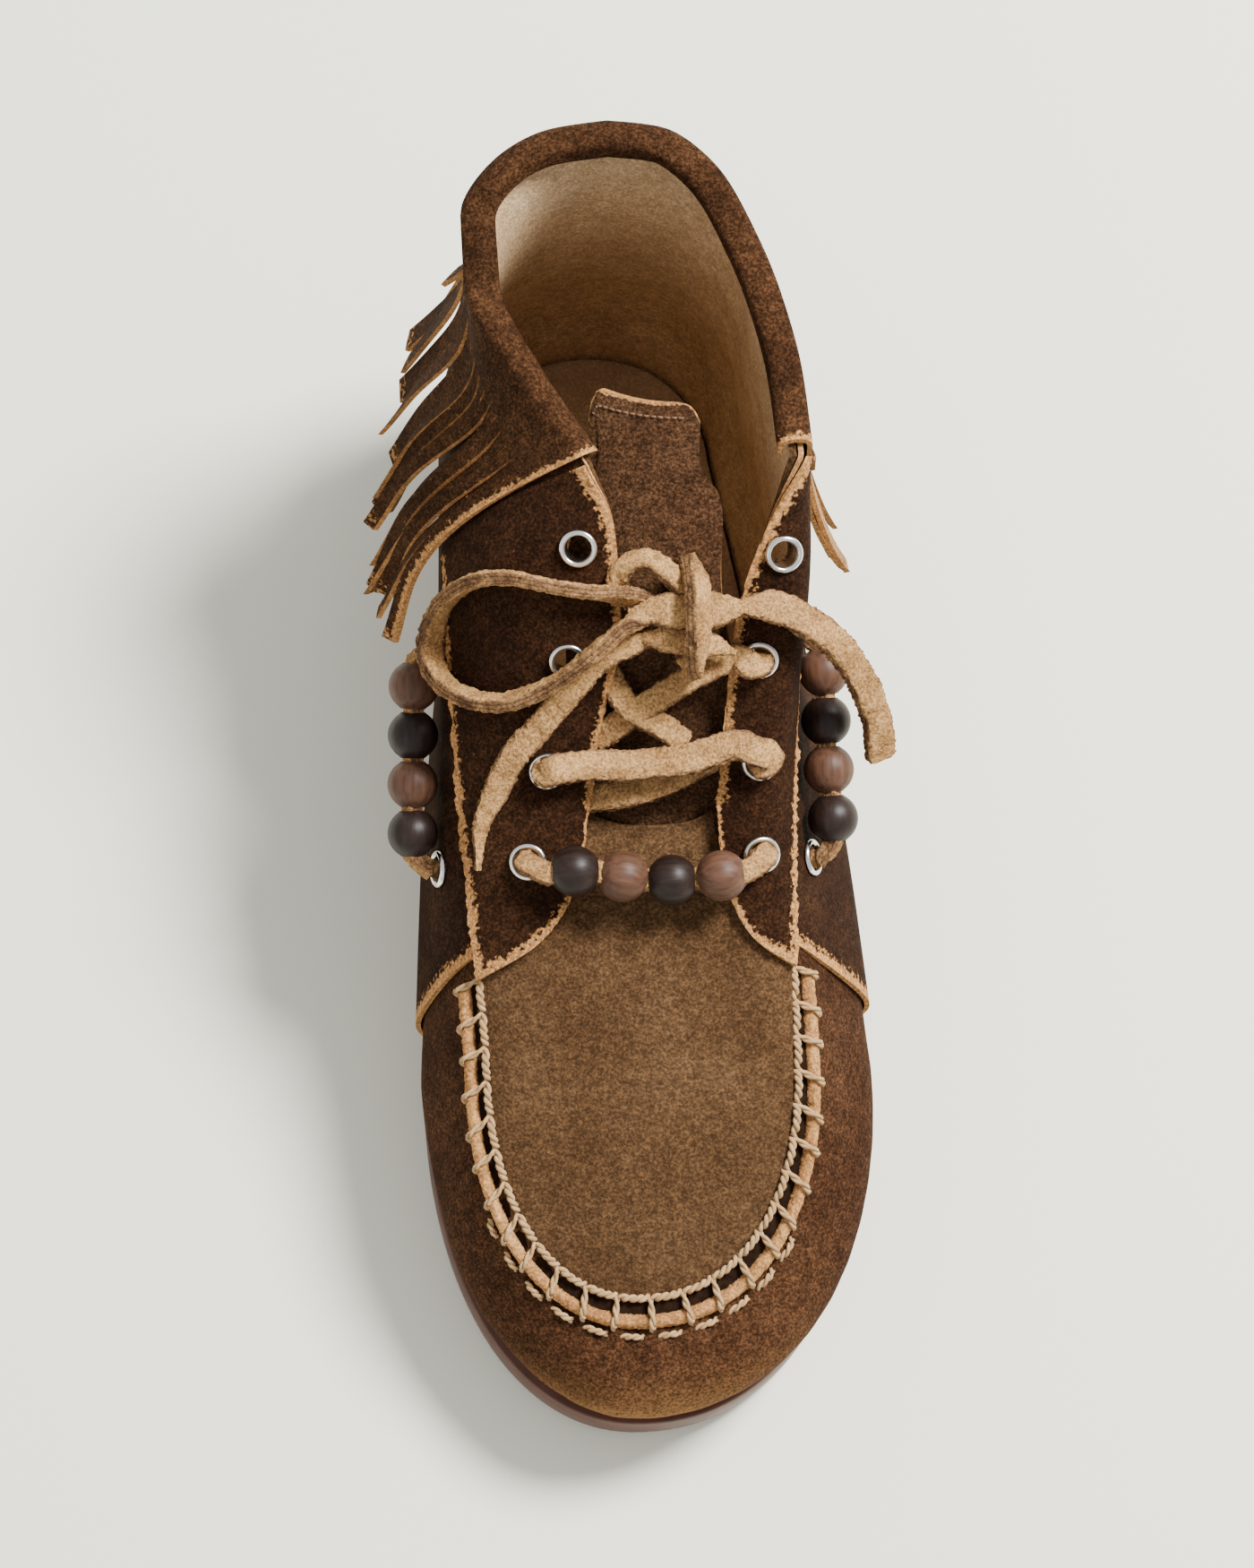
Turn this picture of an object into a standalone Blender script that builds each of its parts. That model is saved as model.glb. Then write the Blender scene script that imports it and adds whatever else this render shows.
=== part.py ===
"""A left fringe boot: a soft moccasin boot with a rubber sole, a laced throat, beads and a fringed collar.

The toe points along -Y, the heel along +Y and the outer side of the foot along +X.
The origin is on the underside of the sole, on the boot's long axis.
"""

import math
from collections import namedtuple

import bmesh
import bpy
import numpy as np
from mathutils import Matrix, Vector

# Driving sizes, in metres
LENGTH = 0.254
BALL_WIDTH = 0.098
UPPER_HEIGHT = 0.114
WALL = 0.0015
GAP = 0.0003

SOLE_HEEL = 0.0155
SOLE_BALL = 0.0100
TOE_SPRING = 0.0050
SOLE_RIM = 0.0026

# Places along the boot where widths and heights are given, as shares of the length
STATIONS = (0.354, 0.157, -0.020, -0.217, -0.433)

# A ring is a closed line round the upper, at one share of the way up its wall.
# Lengths along the boot are shares of LENGTH, half widths are shares of BALL_WIDTH,
# and heights above the sole are shares of UPPER_HEIGHT.
Ring = namedtuple(
    "Ring", "name up heel corner vamp toe heel_round toe_round medial lateral height"
)
RINGS = (
    Ring(
        "feather", 0.00, 0.465, 0.150, -0.079, -0.500, 0.118, 0.283,
        (0.296, 0.316, 0.367, 0.423), (0.296, 0.378, 0.444, 0.495),
        (0.000, 0.000, 0.000, 0.000, 0.000),
    ),
    Ring(
        "bulge", 0.14, 0.480, 0.154, -0.079, -0.511, 0.130, 0.290,
        (0.337, 0.362, 0.418, 0.460), (0.337, 0.429, 0.500, 0.540),
        (0.193, 0.162, 0.149, 0.127, 0.105),
    ),
    Ring(
        "shoulder", 0.30, 0.472, 0.161, -0.075, -0.486, 0.130, 0.270,
        (0.327, 0.362, 0.408, 0.434), (0.332, 0.400, 0.445, 0.497),
        (0.404, 0.355, 0.307, 0.250, 0.193),
    ),
    Ring(
        "seam", 0.46, 0.463, 0.173, -0.067, -0.435, 0.126, 0.190,
        (0.306, 0.357, 0.362, 0.342), (0.327, 0.372, 0.360, 0.372),
        (0.596, 0.575, 0.474, 0.382, 0.237),
    ),
    Ring(
        "brow", 0.68, 0.463, 0.189, -0.055, -0.331, 0.122, 0.150,
        (0.281, 0.245, 0.214, 0.184), (0.321, 0.378, 0.306, 0.214),
        (0.798, 0.776, 0.579, 0.421, 0.289),
    ),
)

# The edge of the opening: first the collar, from its back to its front corner, then
# the throat, from that corner to the end of the apron. Share says how far along its
# own stretch a row lies. The other columns are shares as in the rings.
Edge = namedtuple("Edge", "name share medial_x medial_y lateral_x lateral_y height")
COLLAR_EDGE = (
    Edge("back", 0.00, 0.010, 0.478, 0.010, 0.478, 0.991),
    Edge("back_turn", 0.17, -0.102, 0.473, 0.112, 0.472, 0.991),
    Edge("heel_side", 0.33, -0.204, 0.456, 0.209, 0.443, 0.982),
    Edge("side", 0.50, -0.276, 0.415, 0.278, 0.392, 0.969),
    Edge("ankle", 0.67, -0.276, 0.358, 0.327, 0.339, 0.956),
    Edge("front_turn", 0.83, -0.189, 0.281, 0.363, 0.272, 0.941),
    Edge("front_corner", 1.00, -0.066, 0.203, 0.376, 0.203, 0.927),
)
THROAT_EDGE = (
    Edge("front_corner", 0.00, -0.066, 0.203, 0.376, 0.203, 0.927),
    Edge("top_eyelet", 0.09, -0.015, 0.157, 0.316, 0.161, 0.860),
    Edge("third_eyelet", 0.18, -0.010, 0.094, 0.250, 0.100, 0.757),
    Edge("second_eyelet", 0.27, -0.056, 0.031, 0.222, 0.033, 0.651),
    Edge("throat_foot", 0.365, -0.097, -0.028, 0.209, -0.028, 0.561),
    Edge("apron_turn", 0.57, -0.051, -0.043, 0.168, -0.043, 0.537),
    Edge("apron_side", 0.78, 0.005, -0.048, 0.117, -0.048, 0.529),
    Edge("apron_end", 1.00, 0.061, -0.049, 0.061, -0.049, 0.527),
)

# The upper's faces: so many strips round each side, finer along the collar, and so
# many up the wall. The corner of the collar, the foot of the throat and the edges of
# the eyestay all lie on a strip's edge.
STRIPS_ROUND = 20
STRIPS_COLLAR = 10
STRIPS_UP = 10
CORNER_ROUND = 6 / STRIPS_ROUND
VAMP_ROUND = 11 / STRIPS_ROUND
QUARTER_FRONT = 0.63
EYESTAY_FRONT = 13 / STRIPS_ROUND
EYESTAY_FOOT = 5 / STRIPS_UP


def slopes(knots, values, flat_ends):
    """Slopes at the knots that keep a curve through the values from overshooting."""
    step = np.diff(knots)
    rise = np.diff(values) / step
    out = np.zeros(len(knots))
    for i in range(1, len(knots) - 1):
        if rise[i - 1] * rise[i] > 0:
            w1, w2 = 2 * step[i] + step[i - 1], step[i] + 2 * step[i - 1]
            out[i] = (w1 + w2) / (w1 / rise[i - 1] + w2 / rise[i])
    if not flat_ends:
        out[0], out[-1] = rise[0], rise[-1]
    return out


def curve(knots, values, at, flat_ends=False):
    """A smooth curve through the values at the knots, level past its ends."""
    knots, values = np.asarray(knots, float), np.asarray(values, float)
    if knots[0] > knots[-1]:
        knots, values = knots[::-1], values[::-1]
    tangent = slopes(knots, values, flat_ends)
    at = np.clip(np.asarray(at, float), knots[0], knots[-1])
    i = np.clip(np.searchsorted(knots, at, side="right") - 1, 0, len(knots) - 2)
    h = knots[i + 1] - knots[i]
    u = (at - knots[i]) / h
    return (
        values[i] * (1 + 2 * u) * (1 - u) ** 2
        + tangent[i] * h * u * (1 - u) ** 2
        + values[i + 1] * u * u * (3 - 2 * u)
        + tangent[i + 1] * h * u * u * (u - 1)
    )


def sole_bottom(y):
    """Height of the tread above the floor: flat, then sprung up to the toe."""
    spring_start = -0.30 * LENGTH
    toe = -0.52 * LENGTH
    share = np.clip((np.asarray(y) - spring_start) / (toe - spring_start), 0, 1)
    return TOE_SPRING * share**2


def sole_top(y):
    """Height of the sole's upper face: a low wedge, thickest at the heel."""
    thick = curve(
        (0.35 * LENGTH, 0.0, -0.2 * LENGTH),
        (SOLE_HEEL, 0.55 * SOLE_BALL + 0.45 * SOLE_HEEL, SOLE_BALL),
        y,
        flat_ends=True,
    )
    return thick + sole_bottom(y)


def end_round(distance, radius, power=2.15):
    """How full a ring is at this distance from its end, from 0 to 1."""
    inner = np.clip(1 - distance / radius, 0, 1)
    return (1 - inner**power) ** (1 / power)


def along(ring, around):
    """Where a ring is along the boot, at a share of the way round one side."""
    return curve(
        (0, CORNER_ROUND, VAMP_ROUND, 1),
        [LENGTH * y for y in (ring.heel, ring.corner, ring.vamp, ring.toe)],
        around,
        flat_ends=True,
    )


def ring_points(ring, side, around):
    """Points of a ring on one side, -1 for medial and 1 for lateral."""
    y = along(ring, around)
    widths = ring.medial if side < 0 else ring.lateral
    stations = [LENGTH * s for s in STATIONS]
    half = BALL_WIDTH * curve(stations[:4], widths, y)
    full = end_round(ring.heel * LENGTH - y, ring.heel_round * LENGTH)
    full = full * end_round(y - ring.toe * LENGTH, ring.toe_round * LENGTH)
    z = sole_top(y) + GAP + UPPER_HEIGHT * curve(stations, ring.height, y)
    return np.stack([side * half * full, y, z], axis=-1)


def edge_points(side, around):
    """Points of the opening's edge on one side."""
    around = np.asarray(around, float)
    out = np.zeros(around.shape + (3,))
    for rows, start, end in (
        (COLLAR_EDGE, 0.0, CORNER_ROUND),
        (THROAT_EDGE, CORNER_ROUND, 1.0),
    ):
        here = (around >= start) & (around <= end)
        share = (around[here] - start) / (end - start)
        knots = [r.share for r in rows]
        xs = [r.medial_x if side < 0 else r.lateral_x for r in rows]
        ys = [r.medial_y if side < 0 else r.lateral_y for r in rows]
        x = BALL_WIDTH * curve(knots, xs, share)
        y = LENGTH * curve(knots, ys, share)
        z = UPPER_HEIGHT * curve(knots, [r.height for r in rows], share)
        out[here] = np.stack([x, y, z + sole_top(y) + GAP], axis=-1)
    return out


def spline_weights(knots, at):
    """How much each ring counts at each height, for a natural cubic spline."""
    n = len(knots)
    h = np.diff(knots)
    system = np.zeros((n, n))
    right = np.zeros((n, n))
    system[0, 0] = system[-1, -1] = 1
    for i in range(1, n - 1):
        system[i, i - 1 : i + 2] = h[i - 1], 2 * (h[i - 1] + h[i]), h[i]
        right[i, i - 1] = 6 / h[i - 1]
        right[i, i] = -6 / h[i - 1] - 6 / h[i]
        right[i, i + 1] = 6 / h[i]
    bends = np.linalg.solve(system, right)
    at = np.asarray(at, float)
    i = np.clip(np.searchsorted(knots, at, side="right") - 1, 0, n - 2)
    step = h[i]
    a, b = (knots[i + 1] - at) / step, (at - knots[i]) / step
    unit = np.eye(n)
    bend_a = ((a**3 - a) * step**2 / 6)[..., None] * bends[i]
    bend_b = ((b**3 - b) * step**2 / 6)[..., None] * bends[i + 1]
    return a[..., None] * unit[i] + b[..., None] * unit[i + 1] + bend_a + bend_b


KNOTS = np.array([r.up for r in RINGS] + [1.0])


def bare_skin(around, up):
    """The upper's outer surface.

    Around runs from 0 at the heel, along the lateral side to 1 at the toe, and back
    along the medial side to 2. Up runs from 0 at the sole to 1 at the opening.
    """
    around, up = np.broadcast_arrays(
        np.mod(np.asarray(around, float), 2), np.asarray(up, float)
    )
    weights = spline_weights(KNOTS, up)
    out = np.zeros(around.shape + (3,))
    for side in (-1, 1):
        share = around if side > 0 else 2 - around
        here = around <= 1 if side > 0 else around > 1
        lines = [ring_points(r, side, share) for r in RINGS] + [edge_points(side, share)]
        points = sum(weights[..., k, None] * line for k, line in enumerate(lines))
        out[here] = points[here]
    return out


def skin_normal(around, up):
    """The unit normal of the upper, pointing out of the boot."""
    step = 0.004
    across = bare_skin(around + step, up) - bare_skin(around - step, up)
    low = np.clip(np.asarray(up, float) - step, 0, 1)
    high = np.clip(np.asarray(up, float) + step, 0, 1)
    rise = bare_skin(around, high) - bare_skin(around, low)
    normal = np.cross(rise, across)
    return normal / np.linalg.norm(normal, axis=-1, keepdims=True)


def skin(around, up, lift=0.0):
    """A point of the upper's outer surface, or one that is lifted off it."""
    around = np.asarray(around, float)
    up = np.asarray(up, float)
    lift = np.asarray(lift, float)[..., None]
    return bare_skin(around, up) + lift * skin_normal(around, up)


def clear_scene():
    for old in list(bpy.data.objects):
        bpy.data.objects.remove(old, do_unlink=True)


def new_collection(name):
    collection = bpy.data.collections.new(name)
    bpy.context.scene.collection.children.link(collection)
    return collection


def finish_material(name, colour, roughness, metallic=0.0):
    material = bpy.data.materials.new(name)
    material.use_nodes = True
    shader = material.node_tree.nodes["Principled BSDF"]
    shader.inputs["Base Color"].default_value = (*colour, 1.0)
    shader.inputs["Roughness"].default_value = roughness
    shader.inputs["Metallic"].default_value = metallic
    material.diffuse_color = (*colour, 1.0)
    return material


def add_mesh(name, bm, collection, colour, roughness, metallic=0.0):
    """Close a bmesh into a named object with its own material."""
    bmesh.ops.recalc_face_normals(bm, faces=bm.faces)
    mesh = bpy.data.meshes.new(name)
    bm.to_mesh(mesh)
    bm.free()
    mesh.shade_smooth()
    mesh.set_sharp_from_angle(angle=math.radians(35))
    obj = bpy.data.objects.new(name, mesh)
    obj.data.materials.append(finish_material(name, colour, roughness, metallic))
    collection.objects.link(obj)
    return obj


def sheet_mesh(front, back, cells=None, closed=False):
    """A thick sheet between two grids of points, with its edges walled.

    Cells says which squares of the grid hold material, and a closed sheet runs round.
    """
    rows, columns = front.shape[:2]
    wide = rows if closed else rows - 1
    if cells is None:
        cells = np.ones((wide, columns - 1), bool)
    bm = bmesh.new()
    verts = {}

    def vert(face, i, j):
        i = i % rows if closed else i
        if (face, i, j) not in verts:
            grid = front if face == 0 else back
            verts[face, i, j] = bm.verts.new(grid[i, j])
        return verts[face, i, j]

    def solid(i, j):
        if closed:
            i = i % rows
        return 0 <= i < wide and 0 <= j < columns - 1 and cells[i, j]

    for i in range(wide):
        for j in range(columns - 1):
            if not cells[i, j]:
                continue
            corners = ((i, j), (i + 1, j), (i + 1, j + 1), (i, j + 1))
            for half in ((0, 1, 2), (0, 2, 3)):
                bm.faces.new([vert(0, *corners[k]) for k in reversed(half)])
                bm.faces.new([vert(1, *corners[k]) for k in half])
            sides = (((i, j - 1), 0), ((i + 1, j), 1), ((i, j + 1), 2), ((i - 1, j), 3))
            for neighbour, k in sides:
                if not solid(*neighbour):
                    a, b = corners[k], corners[(k + 1) % 4]
                    bm.faces.new([vert(0, *a), vert(0, *b), vert(1, *b), vert(1, *a)])
    return bm


def strips(start, end, count):
    return np.linspace(start, end, count + 1)


# Sheets, trim and fastenings
QUARTER_THICKNESS = 0.0011
EYESTAY_THICKNESS = 0.0012
LAYER_GAP = 0.0004

INSOLE_THICKNESS = 0.0030
ARCH_HOLLOW = 0.0018
ARCH_START = 0.030
ARCH_END = 0.200
SOLE_EDGE_ROUND = 0.0016

SEAM_WIDTH = 0.0032
SEAM_HEIGHT = 0.0026
SEAM_START = 0.644

TONGUE_THICKNESS = 0.0020
TONGUE_CLEAR = 0.0015
TONGUE_CROWN = 0.0030
TONGUE_UNDERLAP = 0.17
TONGUE_RISE = 0.0100
TONGUE_WIDTH = 0.0340

FRINGE_THICKNESS = 0.0013
FRINGE_BAND = 8 / STRIPS_UP
FRINGE_TIP = 0.33
FRINGE_STRIP = 0.0046
FRINGE_SLIT = 0.0006
FRINGE_STEPS = 3
FRINGE_INSIDE = 0.965
FRINGE_GAP = 0.0009
FRINGE_INNER_GAP = 0.0012
FRINGE_END_GAP = 0.0014

EYELET_FLANGE = 0.0085
EYELET_HOLE = 0.0050
EYELET_BARREL = 0.0060
EYELET_DEPTH = 0.0052
EYELET_RIM = 0.0009
EYELET_CLEAR = 0.0004
EYELET_SIDES = 8

BEAD = 0.0108
BEAD_BORE = 0.0054
BEAD_LENGTH = 0.0097
BEAD_SHOULDER = 60
BEAD_GAP = 0.0008
BEAD_SIDES = 9
LACE = 0.0034

COLOURS = {
    "suede": (0.075, 0.040, 0.026),
    "vamp": (0.120, 0.055, 0.034),
    "raw_edge": (0.440, 0.270, 0.150),
    "rubber": (0.190, 0.080, 0.050),
    "lining": (0.400, 0.260, 0.160),
    "nickel": (0.650, 0.640, 0.620),
    "pale_wood": (0.150, 0.085, 0.060),
    "dark_wood": (0.040, 0.022, 0.018),
}


def grown(points, side, grow):
    """A side's outline in plan, moved outwards by so much."""
    ahead = np.gradient(points, axis=0)
    ahead[0] = side, 0, 0
    ahead[-1] = -side, 0, 0
    out = np.array(points)
    long = np.hypot(ahead[:, 0], ahead[:, 1])
    out[:, 0] -= side * grow * ahead[:, 1] / long
    out[:, 1] += side * grow * ahead[:, 0] / long
    return out


def plan_loop(grow):
    """The sole's plan as a closed loop from the heel, round the lateral side."""
    shares = strips(0, 1, STRIPS_ROUND)
    lateral = grown(ring_points(RINGS[0], 1, shares), 1, grow)
    medial = grown(ring_points(RINGS[0], -1, shares), -1, grow)
    return np.concatenate([lateral, medial[-2:0:-1]])


def stacked_mesh(loops):
    """A solid from loops stacked upwards, closed with strips across each end."""
    bm = bmesh.new()
    rows = [[bm.verts.new(p) for p in loop] for loop in loops]
    count = len(rows[0])
    half = count // 2
    for low, high in zip(rows, rows[1:]):
        for i in range(count):
            k = (i + 1) % count
            bm.faces.new([low[i], low[k], high[k], high[i]])
    for row in (rows[0], rows[-1]):
        bm.faces.new([row[0], row[1], row[-1]])
        for i in range(1, half - 1):
            bm.faces.new([row[i], row[i + 1], row[-i - 1], row[-i]])
        bm.faces.new([row[half - 1], row[half], row[half + 1]])
    return bm


def sole_loop(grow, height):
    """A loop of the sole at a share of its thickness, plus a height in metres."""
    loop = plan_loop(grow)
    y = loop[:, 1]
    share, extra = height
    arch = np.clip((y / LENGTH - ARCH_START) / (ARCH_END - ARCH_START), 0, 1)
    low = sole_bottom(y) + ARCH_HOLLOW * np.sin(math.pi * arch) ** 2
    loop[:, 2] = low + share * (sole_top(y) - low) + extra
    return loop


def make_outsole(collection):
    bevel = SOLE_EDGE_ROUND
    loops = [
        sole_loop(SOLE_RIM - bevel, (0, 0)),
        sole_loop(SOLE_RIM, (0, bevel)),
        sole_loop(SOLE_RIM, (1, -bevel)),
        sole_loop(SOLE_RIM - 0.4 * bevel, (1, 0)),
    ]
    add_mesh("outsole", stacked_mesh(loops), collection, COLOURS["rubber"], 0.75)


def make_insole(collection):
    inset = -WALL - 2 * LAYER_GAP
    loops = [
        sole_loop(inset, (1, GAP)),
        sole_loop(inset, (1, GAP + INSOLE_THICKNESS)),
    ]
    add_mesh("insole", stacked_mesh(loops), collection, COLOURS["lining"], 0.9)


def lifted_sheet(around, up, low, high):
    """The two faces of a sheet that follows the upper between two lifts."""
    front = skin(around, up, high * np.ones_like(around))
    back = skin(around, up, low * np.ones_like(around))
    return front, back


def side_around(side, share):
    """The way round the boot for a share of one side."""
    return share if side > 0 else 2 - share


def side_lines():
    """The edges of the strips round one side, from the heel to the toe."""
    past = strips(0, 1, STRIPS_ROUND)
    collar = strips(0, CORNER_ROUND, STRIPS_COLLAR)
    return np.concatenate([collar, past[past > CORNER_ROUND + 1e-4]])


def round_lines(start, end):
    """The strips' edges between two places round a side, with both ends."""
    lines = side_lines()
    inner = lines[(lines > start + 1e-4) & (lines < end - 1e-4)]
    return np.concatenate([[start], inner, [end]])


def up_lines(start, end):
    """The strips' edges up the wall from one to another."""
    lines = strips(0, 1, STRIPS_UP)
    return lines[(lines > start - 1e-4) & (lines < end + 1e-4)]


def cut_with(obj, cutter):
    modifier = obj.modifiers.new("holes_" + cutter.name, "BOOLEAN")
    modifier.operation = "DIFFERENCE"
    modifier.solver = "EXACT"
    modifier.object = cutter


def make_upper(collection, cutters):
    side = side_lines()
    around = np.concatenate([side, (2 - side)[-2:0:-1]])
    a, u = np.meshgrid(around, strips(0, 1, STRIPS_UP), indexing="ij")
    front, back = lifted_sheet(a, u, -WALL, 0.0)
    mesh = sheet_mesh(front, back, closed=True)
    upper = add_mesh("upper", mesh, collection, COLOURS["vamp"], 0.95)
    for cutter in cutters.values():
        cut_with(upper, cutter)


QUARTER_LOW = LAYER_GAP
BACK_SEAM = 0.006
QUARTER_HIGH = QUARTER_LOW + QUARTER_THICKNESS


def make_quarter(collection, cutters, side, word):
    """One side panel, from the back seam to its straight front edge."""
    lines = round_lines(BACK_SEAM, QUARTER_FRONT)[::side]
    a, u = np.meshgrid(side_around(side, lines), strips(0, 1, STRIPS_UP), indexing="ij")
    front, back = lifted_sheet(a, u, QUARTER_LOW, QUARTER_HIGH)
    for grid in (front, back):
        floor = sole_top(grid[..., 1]) + GAP
        grid[..., 2] = np.maximum(grid[..., 2], floor)
    cells = np.ones((len(lines) - 1, STRIPS_UP), bool)
    middle = (lines[:-1] + lines[1:]) / 2
    cells[middle > VAMP_ROUND, -2:] = False
    mesh = sheet_mesh(front, back, cells)
    name = "quarter_" + word
    quarter = add_mesh(name, mesh, collection, COLOURS["suede"], 0.95)
    cut_with(quarter, cutters["side_" + word])
    cut_with(quarter, cutters["throat_" + word])


EYESTAY_LOW = QUARTER_HIGH + LAYER_GAP
EYESTAY_HIGH = EYESTAY_LOW + EYESTAY_THICKNESS


def make_eyestay(collection, cutters, side, word):
    """The laced facing, whose front edge slopes back to the foot of the throat."""
    lines = round_lines(CORNER_ROUND, EYESTAY_FRONT)[::side]
    ups = up_lines(EYESTAY_FOOT, 1.0)
    a, u = np.meshgrid(lines, ups, indexing="ij")
    front_edge = curve((0.80, 0.90, 1.0), (EYESTAY_FRONT, 0.632, 0.572), u)
    reach = (front_edge - VAMP_ROUND) / (EYESTAY_FRONT - VAMP_ROUND)
    a = np.where(a > VAMP_ROUND, VAMP_ROUND + (a - VAMP_ROUND) * reach, a)
    front, back = lifted_sheet(side_around(side, a), u, EYESTAY_LOW, EYESTAY_HIGH)
    mesh = sheet_mesh(front, back)
    eyestay = add_mesh("eyestay_" + word, mesh, collection, COLOURS["suede"], 0.95)
    cut_with(eyestay, cutters["throat_" + word])


def make_apron_seam(collection):
    """The raised seam that joins the apron to the wall, from side to side."""
    side = round_lines(SEAM_START, 1.0)
    around = np.concatenate([side, (2 - side)[-2::-1]])
    half = 0.5 * SEAM_WIDTH / (UPPER_HEIGHT * 0.95)
    across = np.array([-1.0, -0.8, 0.0, 0.8, 1.0])
    lifts = LAYER_GAP + SEAM_HEIGHT * np.array([0.3, 0.75, 1.0, 0.75, 0.3])
    a, s = np.meshgrid(around, across, indexing="ij")
    up = RINGS[3].up + half * s
    front = skin(a, up, np.broadcast_to(lifts, a.shape))
    back = skin(a, up, LAYER_GAP * np.ones_like(a))
    mesh = sheet_mesh(front, back)
    add_mesh("apron_seam", mesh, collection, COLOURS["raw_edge"], 0.9)


# The tongue's rows, from its foot up. Around places a row along the throat. Left and
# right say how far it reaches: from 0 to 1 across the throat, and on to -1 or 2 at the
# full underlap below an eyestay. Sink is a share of TONGUE_RISE.
TongueRow = namedtuple("TongueRow", "name around left right sink")
TONGUE_ROWS = (
    TongueRow("throat_foot", 0.5500, -1.0, 2.0, 0.00),
    TongueRow("second_eyelet", 0.4900, -1.0, 1.6, 0.00),
    TongueRow("middle", 0.4350, -1.0, 0.88, 0.05),
    TongueRow("third_eyelet", 0.3900, -1.0, 0.74, 0.15),
    TongueRow("top_eyelet", 0.3400, -0.7, 0.66, 0.30),
    TongueRow("corner", 0.3000, -0.3, 0.62, 0.45),
)
TONGUE_COLUMNS = 10


def bridge(around, share, lift):
    """A point of the sheet that spans the throat from edge to edge, lifted off it."""
    left = skin(2 - around, 1.0, lift)
    right = skin(around, 1.0, lift)
    ahead = skin(around - 0.01, 1.0, lift) - skin(around + 0.01, 1.0, lift)
    up = np.cross(right - left, ahead)
    up = up / np.linalg.norm(up)
    return left + (right - left) * share + up * 4 * TONGUE_CROWN * share * (1 - share)


def tongue_point(around, share, lift):
    if share < 0:
        return skin(2 - around, 1 + share * TONGUE_UNDERLAP, lift)
    if share > 1:
        return skin(around, 1 - (share - 1) * TONGUE_UNDERLAP, lift)
    return bridge(around, share, lift)


def tongue_grid(depth):
    lift = -WALL - TONGUE_CLEAR - depth
    rows = []
    first = TONGUE_ROWS[0]
    shares = np.array(sorted(set(strips(-1, 2, 6)) | set(strips(0, 1, 6))))
    foot, tip = [], []
    for share in shares:
        if 0 <= share <= 1:
            around = 2 - first.around - share * (2 - 2 * first.around)
            foot.append(skin(around, 1.0, lift))
            tip.append(skin(around + 0.02 * (share * 2 - 1), 0.96, lift))
        else:
            side = -1 if share < 0 else 1
            past = -share if share < 0 else share - 1
            up = 1 - past * TONGUE_UNDERLAP
            foot.append(skin(side_around(side, first.around), up, lift))
            tip.append(skin(side_around(side, first.around + 0.025), up - 0.01, lift))
    rows.append(tip)
    rows.append(foot)
    for row in TONGUE_ROWS[1:]:
        scaled = row.left + (shares + 1) / 3 * (row.right - row.left)
        sunk = lift - row.sink * TONGUE_RISE
        rows.append([tongue_point(row.around, s, sunk) for s in scaled])
    for rise in (0.6, 1.2):
        shift = np.array([0, 1.0, 0.55]) * rise * TONGUE_RISE
        rows.append([p + shift for p in rows[-1 if rise < 1 else -2]])
    return np.array(rows)


def make_tongue(collection):
    mesh = sheet_mesh(tongue_grid(0.0), tongue_grid(TONGUE_THICKNESS))
    add_mesh("tongue", mesh, collection, COLOURS["vamp"], 0.85)


# How the fringe hangs round the collar, from the medial corner at -1, past the heel at
# 0, to the lateral corner at 1. Flare and swing move the strips' tips away from the
# boot and towards the toe, and drop lengthens them, all as shares of STRIP_LENGTH.
STRIP_LENGTH = 0.070
Fall = namedtuple("Fall", "name place flare swing drop")
FRINGE_FALL = (
    Fall("medial_corner", -1.00, 0.12, 0.10, 0.02),
    Fall("medial_front", -0.85, 0.19, 0.06, 0.04),
    Fall("medial_side", -0.65, 0.16, 0.02, 0.03),
    Fall("medial_heel", -0.35, 0.10, 0.00, 0.00),
    Fall("heel", 0.00, 0.08, 0.00, -0.02),
    Fall("lateral_side", 0.60, 0.07, 0.00, 0.00),
    Fall("lateral_corner", 1.00, 0.05, 0.02, -0.03),
)


def collar_edges():
    """Where the fringe's strips start and end round the collar, at even steps."""
    fine = strips(-CORNER_ROUND, CORNER_ROUND, 400)
    rim = bare_skin(fine, np.ones_like(fine))
    run = np.concatenate([[0], np.cumsum(np.linalg.norm(np.diff(rim, axis=0), axis=1))])
    ends = FRINGE_END_GAP
    count = round((run[-1] - 2 * ends) / FRINGE_STRIP)
    pitch = (run[-1] - 2 * ends) / count
    starts = ends + pitch * np.arange(count)
    edges = np.stack([starts + FRINGE_SLIT / 2, starts + pitch - FRINGE_SLIT / 2], axis=1)
    return np.interp(edges.ravel(), run, fine)


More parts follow.
